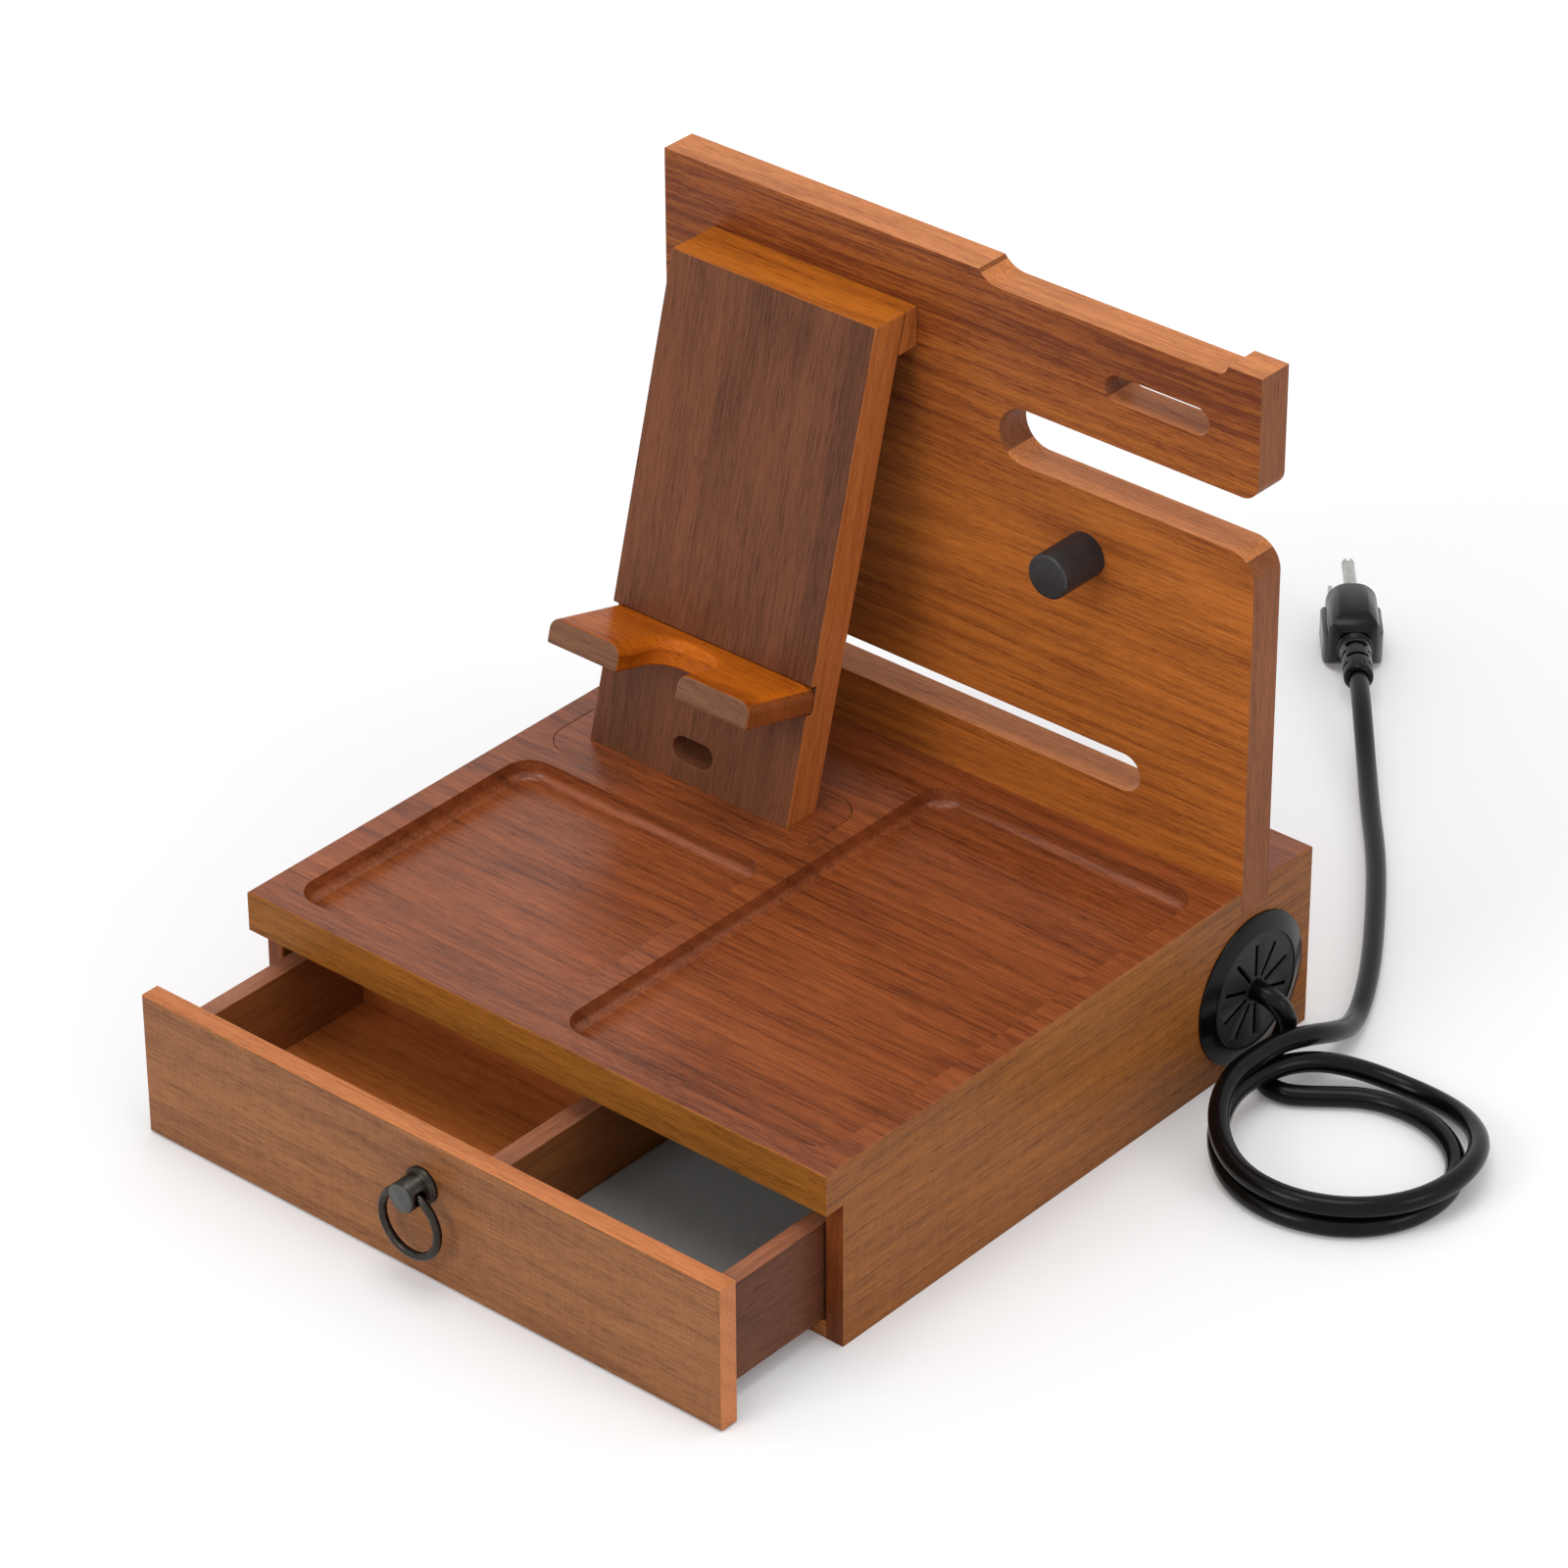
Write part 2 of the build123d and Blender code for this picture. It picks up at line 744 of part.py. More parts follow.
def plate_screw(x, grow=0.0):
    """One domed faceplate screw, or the hole for it."""
    head = plate_screw_head / 2 + grow
    shank = plate_screw_diameter / 2 + grow
    shape = [
        (0, plate_screw_head_height * 0.5),
        (head * 0.7, plate_screw_head_height * 0.4),
        (head, 0),
        (shank, -plate_screw_head_height),
        (shank, -plate_screw_length - grow),
        (0, -plate_screw_length - grow),
    ]
    return turned(shape, Plane(origin=(x, unit_face_y, unit_level), z_dir=(0, 1, 0)))


def make_faceplate():
    """The power unit's faceplate, bevelled, with a hole for each outlet and port."""
    outline = unit_plane().offset(-plate_thickness) * RectangleRounded(plate_width, plate_height, plate_corner)
    plate = extrude(outline, amount=plate_thickness)
    plate = chamfer(plate.faces().sort_by(Axis.Y)[-1].edges(), plate_bevel)
    for hole in unit_holes():
        plate -= hole
    front = plate.faces().sort_by(Axis.Y)[-1]
    ports = [wire for wire in front.inner_wires() if wire.bounding_box().size.X < outlet_width - 1]
    plate = fillet([edge for wire in ports for edge in wire.edges()], port_lip)
    for x in plate_screw_x():
        plate -= plate_screw(x, fit_gap)
    return plate


def make_power_housing():
    """The power unit's housing behind the faceplate, with the modules' pockets."""
    wide = around(0, housing_width)
    high = around(unit_level, housing_height)
    housing = block(wide, (housing_y, rear_y), high)
    housing = fillet(housing.edges().filter_by(Axis.Y), outlet_corner)
    for pocket in unit_holes():
        housing -= pocket
    return housing


def make_outlet(x):
    """One bevelled outlet block, with two blade slots and a ground hole round at one end."""
    size = (outlet_width, outlet_height, outlet_corner)
    outlet = unit_block(x, *size, outlet_proud, outlet_depth)
    outlet = chamfer(outlet.faces().sort_by(Axis.Y)[-1].edges(), outlet_bevel)
    face_y = unit_face_y + outlet_proud
    deep = (face_y - socket_depth, face_y + 1)
    slot_x = around(x + blade_slot_shift, blade_slot_width)
    for level in around(unit_level, blade_spacing):
        outlet -= block(slot_x, deep, around(level, blade_slot_height))
    ground_x = x + blade_slot_shift - ground_offset
    axis = Plane(origin=(ground_x, face_y - socket_depth, unit_level), z_dir=(0, 1, 0))
    bore = axis.location * Pos(0, 0, socket_depth) * Cylinder(ground_hole / 2, socket_depth * 2)
    square_end = block((ground_x - ground_hole / 2, ground_x), deep, around(unit_level, ground_hole))
    return outlet - bore - square_end


def make_usb_c_frame():
    """The frame round the small port, sunk in the faceplate."""
    size = (usb_c_frame_width, usb_c_frame_height, port_corner)
    frame = unit_block(usb_c_x, *size, -port_recess, port_depth)
    deep = (unit_face_y - port_depth + 1, unit_face_y + 5)
    hole = slot_y(usb_c_x, unit_level, usb_c_width + 2 * fit_gap, usb_c_height + 2 * fit_gap, deep)
    return frame - hole


def make_usb_c_shell():
    """The small port's oval metal shell."""
    deep = (unit_face_y - port_depth + 1, unit_face_y - port_recess)
    shell = slot_y(usb_c_x, unit_level, usb_c_width, usb_c_height, deep)
    bore = (deep[0] + usb_c_wall, deep[1] + 5)
    wall = 2 * usb_c_wall
    return shell - slot_y(usb_c_x, unit_level, usb_c_width - wall, usb_c_height - wall, bore)


def usb_a_block(grow, proud, depth):
    """The large port's round-cornered outline, grown and drawn out between two depths."""
    size = (usb_a_width + 2 * grow, usb_a_height + 2 * grow, usb_a_corner + grow)
    return unit_block(usb_a_x, *size, proud, depth)


def make_usb_a_frame():
    """The frame round the large port, sunk in the faceplate."""
    size = (usb_a_frame_width, usb_a_frame_height, port_corner)
    frame = unit_block(usb_a_x, *size, -port_recess, port_depth)
    return frame - usb_a_block(fit_gap, outlet_proud, port_depth - 1)


def make_usb_a_shell():
    """The large port's metal shell, which stands out of its frame a little."""
    shell = usb_a_block(0, usb_a_proud - port_recess, port_depth - 1)
    return shell - usb_a_block(-usb_a_wall, outlet_proud, port_depth - 1 - usb_a_wall)


def make_usb_tongues():
    """The contact tongues of the two ports, each standing on its shell's floor."""
    floor = unit_face_y - port_depth + 1
    small = (floor + usb_c_wall, floor + usb_c_wall + usb_tongue_length)
    large = (floor + usb_a_wall, floor + usb_a_wall + usb_tongue_length)
    small_tongue = block(around(usb_c_x, 0.8), small, around(unit_level, usb_c_height * 0.7))
    side = usb_a_x - usb_a_width / 2 + usb_a_wall + 0.6
    large_tongue = block((side, side + usb_a_tongue), large, around(unit_level, usb_a_height * 0.74))
    return [small_tongue, large_tongue]


def tapered_relief(length, wide, narrow, ribs, plane):
    """A ribbed sleeve that tapers along a plane's normal, bored for the lead."""
    step = length / (2 * ribs)
    shape = [(cord_diameter / 2 + fit_gap / 2, 0)]
    for count in range(2 * ribs):
        share = (count + 0.5) / (2 * ribs)
        radius = (wide + (narrow - wide) * share) / 2
        radius -= 0.9 * (count % 2)
        shape.append((radius, count * step))
        shape.append((radius, (count + 1) * step))
    shape.append((cord_diameter / 2 + fit_gap / 2, length))
    return turned(shape, plane)


def make_housing_relief():
    """The strain relief where the lead leaves the power unit."""
    plane = Plane(origin=(housing_width / 2, grommet_y, grommet_level), z_dir=(1, 0, 0))
    return tapered_relief(relief_length, relief_wide, relief_narrow, 5, plane)


def make_inner_lead():
    """The lead inside the case, from the power unit to the grommet's outer face."""
    length = membrane_face_x - housing_width / 2
    centre = (housing_width / 2 + length / 2, grommet_y, grommet_level)
    return Plane(origin=centre, z_dir=(1, 0, 0)).location * Cylinder(cord_diameter / 2, length)


def soft_step(value, start, end):
    """Rises smoothly from 0 to 1 between two values."""
    share = min(max((value - start) / (end - start), 0), 1)
    return share * share * (3 - 2 * share)


def coil_point(turned_by):
    """A point of the coil after this many degrees, clockwise from the coil's start.

    The first turn opens out on the table, rises over the lead where that comes in below
    it, comes down again, and then climbs on to the turn before, which it follows until it
    rises with it at the end.
    """
    angle = radians(coil_start_angle - turned_by)
    grown = soft_step(turned_by, 30, 190)
    radius = coil_inner_radius + (coil_outer_radius - coil_inner_radius) * grown
    over_lead = soft_step(turned_by, 233, 308) - soft_step(turned_by, 334, 396)
    second_layer = soft_step(turned_by, 398, 486) + soft_step(turned_by, 590, 668)
    level = cord_rest + layer_rise * (over_lead + second_layer)
    return Vector(coil_centre[0] + radius * cos(angle), coil_centre[1] + radius * sin(angle), level)


def coil_heading(turned_by):
    """The direction of the coil's line at this point."""
    reach = 0.01
    return (coil_point(turned_by + reach) - coil_point(turned_by - reach)).normalized()


def arc_between(start, heading, end):
    """The arc that leaves start along heading and ends at end."""
    chord = end - start
    along = chord.normalized()
    side = heading - along * heading.dot(along)
    if side.length < 1e-6:
        return Line(start, end)
    half_turn = acos(max(-1, min(1, heading.dot(along))))
    middle = (start + end) / 2 + side.normalized() * (chord.length / 2 * tan(half_turn / 2))
    return ThreePointArc(start, middle, end)


def biarc(start, start_heading, end, end_heading):
    """Two arcs that join two points smoothly, with the heading given at each."""
    chord = end - start
    total = start_heading + end_heading
    spread = 2 * (1 - start_heading.dot(end_heading))
    across = chord.dot(total)
    reach = (sqrt(across**2 + spread * chord.dot(chord)) - across) / spread
    joint = (start + end + (start_heading - end_heading) * reach) / 2
    first = arc_between(start, start_heading, joint)
    last = arc_between(end, end_heading * -1, joint)
    return [first, Edge.make_three_point_arc(joint, last @ 0.5, end)]


def coil_knots():
    """Where the coil's arcs meet, in degrees turned: at most a quarter turn apart."""
    return [0, 60, 128, 190, 233, 271, 308, 334, 365, 397, 442, 486, 538, 590, 629, 668, coil_sweep]


def coil_path():
    """The coil's line: a straight lead-in, arcs round, and a straight lead-out."""
    knots = coil_knots()
    places = [coil_point(knot) for knot in knots]
    headings = [coil_heading(knot) for knot in knots]
    edges = [Edge.make_line(places[0] - headings[0] * cord_diameter, places[0])]
    for count in range(len(knots) - 1):
        edges += biarc(places[count], headings[count], places[count + 1], headings[count + 1])
    edges.append(Edge.make_line(places[-1], places[-1] + headings[-1] * cord_diameter))
    return Wire(edges)


def tube_along(path):
    """The lead's round section swept along a line."""
    plane = Plane(origin=path @ 0, z_dir=path % 0)
    return sweep(plane * Circle(cord_diameter / 2), path=path)


def route_radii(points):
    """The bend radius at each inner point of a route: 0.45 of the shorter run, over the turn."""
    radii = []
    for before, point, after in zip(points, points[1:], points[2:]):
        turn = (point - before).get_angle(after - point)
        run = min((point - before).length, (after - point).length)
        radii.append(0.45 * run / tan(radians(turn) / 2))
    return radii


def beside(out, back, level):
    """A point of the route: out from the case's side, back from the grommet's middle, and up."""
    return Vector(half_width + out, grommet_y + back, level)


def lead_route():
    """From the grommet down to the table, under the coil and round to the coil's start."""
    coil_end = coil_point(0) - coil_heading(0) * cord_diameter
    return [
        Vector(membrane_face_x, grommet_y, grommet_level),
        beside(6.6, 0, grommet_level),
        beside(10.6, 0.85, 27.6),
        beside(13.1, 2.15, 24.1),
        beside(13.6, 3.55, 19.3),
        beside(11.5, 2.45, 11.1),
        beside(10.4, -5.35, 6.1),
        beside(15.5, -11.55, cord_rest),
        beside(23.7, -12.15, cord_rest),
        coil_end - coil_heading(0) * 6.6,
        coil_end,
    ]


def tail_route():
    """From the coil's last turn over the others, down to the table and back to the plug."""
    coil_end = coil_point(coil_sweep) + coil_heading(coil_sweep) * cord_diameter
    return [
        coil_end,
        coil_end + coil_heading(coil_sweep) * 7.5,
        beside(21.8, 4.25, 17.8),
        beside(22.3, 16.15, 13.0),
        beside(20.2, 27.45, 7.6),
        beside(16.2, 38.75, cord_rest),
        beside(10.2, 51.75, cord_rest),
        beside(-0.4, 70.25, cord_rest),
        beside(-16.4, 94.25, cord_rest),
        beside(-37.5, 123.75, cord_rest),
        beside(-59.5, 149.75, cord_rest),
        beside(-76.4, 170.35, 5.6),
        beside(-89.6, 186.05, 9.6),
        plug_place(-12.5),
        plug_place(0),
    ]


def plug_heading():
    """The way the plug points, on the table."""
    return Vector(-cos(radians(plug_turn)), sin(radians(plug_turn)), 0)


def plug_place(along):
    """A point on the plug's axis, this far from where the lead enters it."""
    return beside(-107.4, 207.25, plug_axis_level) + plug_heading() * along


def plug_plane(along):
    """A plane across the plug, with its X level and its Y up."""
    heading = plug_heading()
    level = Vector(-heading.Y, heading.X, 0)
    return Plane(origin=plug_place(along), x_dir=level, z_dir=heading)


def make_plug_relief():
    """The plug's strain relief: a collar and a sleeve with slots cut on two sides by turns."""
    bore = (cord_diameter + fit_gap) / 2
    sleeve_end = plug_relief_length - plug_collar_length
    shape = [
        (bore, 0),
        (plug_sleeve_narrow / 2 - edge_round, 0),
        (plug_sleeve_narrow / 2, edge_round),
        (plug_sleeve_wide / 2, sleeve_end),
        (plug_collar / 2, sleeve_end + edge_round),
        (plug_collar / 2, plug_relief_length - edge_round),
        (plug_collar / 2 - edge_round, plug_relief_length),
        (bore, plug_relief_length),
    ]
    relief = turned(shape, plug_plane(0))
    ring = Cylinder(plug_collar, sleeve_slot_height) - Cylinder(sleeve_core / 2, sleeve_slot_height)
    slots = ring & Box(sleeve_slot_width, plug_collar * 4, sleeve_slot_height)
    for count in range(sleeve_slot_count):
        level = sleeve_end - sleeve_slot_pitch * (count + 0.75)
        relief -= plug_plane(level).location * Rot(0, 0, 90 * (count % 2)) * slots
    return relief


def drawn_in(width):
    """A side of the plug in outline: straight from its face, then drawn in to the neck."""
    half = width / 2
    neck = plug_neck / 2
    waist = plug_length - plug_straight
    edges = [
        Line((-neck, 0), (neck, 0)),
        TangentArc((half, waist), (neck, 0), tangent=(0, -1)),
        Line((half, waist), (half, plug_length)),
        Line((half, plug_length), (-half, plug_length)),
        Line((-half, plug_length), (-half, waist)),
        TangentArc((-half, waist), (-neck, 0), tangent=(0, -1)),
    ]
    return make_face(Wire(edges))


def make_plug_body():
    """The plug's body: a shield-shaped bar, drawn in to the neck seen from above and from the side."""
    heading = plug_heading()
    neck = plug_place(plug_relief_length)
    base_middle = (plug_base_height - plug_height) / 2
    base = Pos(0, base_middle) * RectangleRounded(plug_width, plug_base_height, plug_base_corner)
    top = RectangleRounded(plug_top_width, plug_height, plug_top_corner)
    body = extrude(plug_plane(plug_relief_length) * (base + top), amount=plug_length)
    from_above = Plane(origin=neck, x_dir=Vector(heading.Y, -heading.X, 0), z_dir=(0, 0, 1))
    from_side = Plane(origin=neck, x_dir=(0, 0, 1), z_dir=Vector(-heading.Y, heading.X, 0))
    for plane, width in ((from_above, plug_width), (from_side, plug_height)):
        body = body & extrude(plane * drawn_in(width), amount=plug_height, both=True)
    return body


def make_plug_blades():
    """The plug's two flat blades, each with its hole."""
    start = plug_relief_length + plug_length
    blades = []
    for side in around(0, blade_spacing):
        plane = plug_plane(start + blade_length / 2)
        shape = Box(blade_thickness, blade_width, blade_length)
        shape = chamfer(shape.edges().group_by(Axis.Z)[-1], blade_thickness * 0.3)
        bore = Pos(0, 0, blade_length * 0.3) * Rot(0, 90, 0) * Cylinder(blade_hole / 2, 9)
        blades.append(plane.location * Pos(side, -blade_drop, 0) * (shape - bore))
    return blades


def make_plug_ground_pin():
    """The plug's round ground pin, rounded, bored and slotted at its tip."""
    length = blade_length + 2
    radius = ground_pin / 2
    shape = [
        (0, 0),
        (radius, 0),
        (radius, length - radius / 2),
        (radius * 0.87, length - radius / 4),
        (radius * 0.6, length),
        (0, length),
    ]
    plane = plug_plane(plug_relief_length + plug_length)
    place = plane.location * Pos(0, ground_offset - blade_drop, 0)
    pin = place * revolve(make_face(Polyline([(r, 0, z) for r, z in shape], close=True)), axis=Axis.Z)
    tip = place * Pos(0, 0, length)
    mouth = Cylinder(ground_pin_bore / 2, 2 * ground_pin_mouth) + Box(ground_pin_slot, 9, 2 * ground_pin_mouth)
    return pin - tip * mouth


def line_points(path, spacing):
    """Points along a path, about this far apart, each with its distance from the start."""
    count = int(path.length / spacing)
    return [(path @ (step / count), path.length * step / count) for step in range(count + 1)]


def least_gap(path):
    """The least gap between the coil's turns, measured on points a quarter turn or more apart."""
    points = line_points(path, 1.5)
    apart = coil_inner_radius * pi / 2
    least = 1e9
    for count, (point, along) in enumerate(points):
        for other, other_along in points[count + 1:]:
            if other_along - along > apart:
                least = min(least, (point - other).length)
    return least - cord_diameter


def group(solids):
    """Separate solids of one node."""
    return Compound(children=[Part(solid.wrapped) for solid in solids])


def build_all():
    """Every sub-part under its name."""
    return {
        "top_board": make_top_board(),
        "left_side": make_side(-1),
        "right_side": make_side(1),
        "bottom_board": make_bottom_board(),
        "rear_panel": make_rear_panel(),
        "partition": make_partition(),
        "back_board": make_back_board(),
        "back_board_screws": group(back_screw_set()),
        "ring_peg": make_ring_peg(),
        "stand_plate": stand_plate() - stand_screw_set(fit_gap),
        "stand_screws": group(stand_screw_set()),
        "phone_stand": make_phone_stand(),
        "stand_bracket": make_stand_bracket(),
        "phone_shelf": make_phone_shelf(),
        "drawer_front": make_drawer_front(),
        "drawer_left_side": make_drawer_side(-1),
        "drawer_right_side": make_drawer_side(1),
        "drawer_back": make_drawer_back(),
        "drawer_floor": make_drawer_floor(),
        "drawer_divider": make_drawer_divider(),
        "drawer_cross_wall": make_cross_wall(),
        "felt_mat": make_felt_mat(),
        "pull_boss": make_pull_boss(),
        "pull_screw": make_pull_screw(),
        "pull_ring": make_pull_ring(),
        "grommet_ring": make_grommet_ring(),
        "grommet_membrane": make_grommet_membrane(),
        "faceplate": make_faceplate(),
        "faceplate_screws": group([plate_screw(x) for x in plate_screw_x()]),
        "power_housing": make_power_housing(),
        "outlet_left": make_outlet(outlet_x[0]),
        "outlet_right": make_outlet(outlet_x[1]),
        "usb_c_frame": make_usb_c_frame(),
        "usb_c_shell": make_usb_c_shell(),
        "usb_a_frame": make_usb_a_frame(),
        "usb_a_shell": make_usb_a_shell(),
        "usb_tongues": group(make_usb_tongues()),
        "housing_relief": make_housing_relief(),
        "inner_lead": make_inner_lead(),
        "plug_relief": make_plug_relief(),
        "plug_body": make_plug_body(),
        "plug_blades": group(make_plug_blades()),
        "plug_ground_pin": make_plug_ground_pin(),
    }


def add_cord(nodes):
    """The free lead: down from the grommet, the coil, and the tail to the plug."""
    section = pi * cord_diameter**2 / 4
    for name, route in (("cord_lead", lead_route()), ("cord_tail", tail_route())):
        radii = route_radii(route)
        print(name, "bend radii", [round(radius, 1) for radius in radii])
        path = FilletPolyline(*route, radius=radii)
        nodes[name] = tube_along(path)
        print(name, "length", round(path.length, 1), "volume over section", round(nodes[name].volume / section, 1))
    path = coil_path()
    nodes["cord_coil"] = tube_along(path)
    print("cord_coil length", round(path.length, 1), "volume over section", round(nodes["cord_coil"].volume / section, 1))
    print("cord_coil least gap to itself", round(least_gap(path), 2))


os.makedirs("parts", exist_ok=True)
model = build_all()
add_cord(model)
for node_name, shape in model.items():
    export_step(shape, "parts/" + node_name + ".step")
print(len(model), "sub-parts written")
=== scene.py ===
"""Looks of a wooden phone dock: its finishes, fine pieces, mains lead, light and camera."""

import logging
import math
from collections.abc import Iterable, Sequence
from dataclasses import dataclass, field
from enum import Enum

import bmesh
import bpy
from bmesh.types import BMEdge, BMesh, BMVert
from bpy.types import Material, Mesh, Node, NodeSocket, NodeTree, Object
from mathutils import Matrix, Vector


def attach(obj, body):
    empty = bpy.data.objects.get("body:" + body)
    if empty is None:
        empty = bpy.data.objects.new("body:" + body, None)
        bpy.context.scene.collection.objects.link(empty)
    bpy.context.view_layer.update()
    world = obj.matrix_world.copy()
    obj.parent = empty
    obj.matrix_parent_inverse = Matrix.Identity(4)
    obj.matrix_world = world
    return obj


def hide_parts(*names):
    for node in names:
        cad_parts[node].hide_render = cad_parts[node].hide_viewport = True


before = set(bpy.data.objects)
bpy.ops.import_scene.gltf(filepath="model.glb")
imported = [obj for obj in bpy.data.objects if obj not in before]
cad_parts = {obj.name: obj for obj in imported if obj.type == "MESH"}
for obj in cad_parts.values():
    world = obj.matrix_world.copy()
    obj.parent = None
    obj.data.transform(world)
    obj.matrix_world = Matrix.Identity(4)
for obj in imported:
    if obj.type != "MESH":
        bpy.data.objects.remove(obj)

LOG = logging.getLogger("phone_dock")
MM = 0.001
CASE = "case"
DRAWER = "drawer"
PULL_RING = "pull_ring"
VECTOR = "NodeSocketVector"
COLOUR = "NodeSocketColor"
FLOAT = "NodeSocketFloat"
WOOD_MARKS = ("Zones", "Rings", "Threads", "Ticks", "Cross", "Pores")
ORIGIN = (0.0, 0.0, 0.0)
SAME_LEVEL = 0.1 * MM
Colour = tuple[int, int, int]
Pair = tuple[float, float]
Triple = tuple[float, float, float]
Inputs = dict[str | int, object]
Materials = dict[str, Material]


def linear(colour: Colour, share: float = 1.0) -> tuple[float, ...]:
    """Turns a screen colour into the renderer's opaque linear one.

    Args:
        colour: Red, green and blue, from 0 to 255.
        share: How much of its light it keeps.

    Returns:
        The linear red, green and blue, at most 1, and full cover.
    """
    levels = [value / 255 for value in colour]
    light = [v / 12.92 if v <= 0.04045 else ((v + 0.055) / 1.055) ** 2.4 for v in levels]
    return (*(min(1.0, value * share) for value in light), 1.0)


class Grain(Enum):
    """Which way a board's grain runs, as the turn that lays that way along X."""

    ALONG_X = (0.0, 0.0, 0.0)
    ALONG_Y = (0.0, 0.0, -90.0)
    UPRIGHT = (0.0, 90.0, 0.0)
    LEANING = (15.0, 90.0, 0.0)


class Facing(Enum):
    """The way that a face looks: its axis and its sign along it."""

    LEFT = (0, -1)
    RIGHT = (0, 1)
    FRONT = (1, -1)
    REAR = (1, 1)
    TOP = (2, 1)


class NodeBench:
    """Places and joins the nodes of one tree, in rows of eight."""

    row: int = 8
    step: Pair = (220, -260)

    def __init__(self, tree: NodeTree) -> None:
        """Starts on a tree, which it empties."""
        self.tree = tree
        self.tree.nodes.clear()

    def feed(self, node: Node, inputs: Inputs) -> None:
        """Gives a node's inputs their constants and their links.

        Args:
            node: The node.
            inputs: Values or output sockets for the named inputs.
        """
        for name, value in inputs.items():
            if isinstance(value, NodeSocket):
                self.tree.links.new(value, node.inputs[name])
            else:
                node.inputs[name].default_value = value

    def add(self, kind: str, inputs: Inputs | None = None, **settings: object) -> Node:
        """Adds a node with its settings and inputs.

        Args:
            kind: The node's type name.
            inputs: Values or output sockets for the named inputs.
            **settings: Properties of the node.

        Returns:
            The new node.
        """
        node = self.tree.nodes.new(kind)
        down, across = divmod(len(self.tree.nodes), self.row)
        node.location = (across * self.step[0], down * self.step[1])
        for name, value in settings.items():
            setattr(node, name, value)
        self.feed(node, inputs or {})
        return node

    def math(self, operation: str, first: object, second: object = 0.0, clamp: bool = False) -> NodeSocket:
        """Adds one Math node and returns its result."""
        inputs = {0: first, 1: second}
        return self.add("ShaderNodeMath", inputs, operation=operation, use_clamp=clamp).outputs[0]

    def blend(self, factor: object, first: object, second: object) -> NodeSocket:
        """Mixes two colours: a Mix node's inputs 6 and 7 and output 2 are its colour ones."""
        inputs = {0: factor, 6: first, 7: second}
        return self.add("ShaderNodeMix", inputs, data_type="RGBA", clamp_factor=True).outputs[2]

    def bump(self, height: object, strength: float, distance: float) -> NodeSocket:
        """Turns a height into a normal."""
        inputs = {"Height": height, "Strength": strength, "Distance": distance}
        return self.add("ShaderNodeBump", inputs).outputs[0]

    def ramp(self, value: NodeSocket, stops: Sequence[Pair]) -> NodeSocket:
        """Maps a value through grey stops.

        Args:
            value: The socket to map.
            stops: Pairs of place and grey level.

        Returns:
            The mapped colour socket.
        """
        node = self.add("ShaderNodeValToRGB", {"Fac": value})
        elements = node.color_ramp.elements
        while len(elements) < len(stops):
            elements.new(0.5)
        for element, (place, level) in zip(elements, stops):
            element.position = place
            element.color = (level, level, level, 1.0)
        return node.outputs["Color"]

    def seen(self) -> NodeSocket:
        """Full for the camera, for reflections and through clear pieces, and none for light.

        Returns:
            The socket of the mask.
        """
        path = self.add("ShaderNodeLightPath").outputs
        direct = self.math("ADD", path["Is Camera Ray"], path["Is Glossy Ray"], clamp=True)
        return self.math("ADD", direct, path["Is Transmission Ray"], clamp=True)


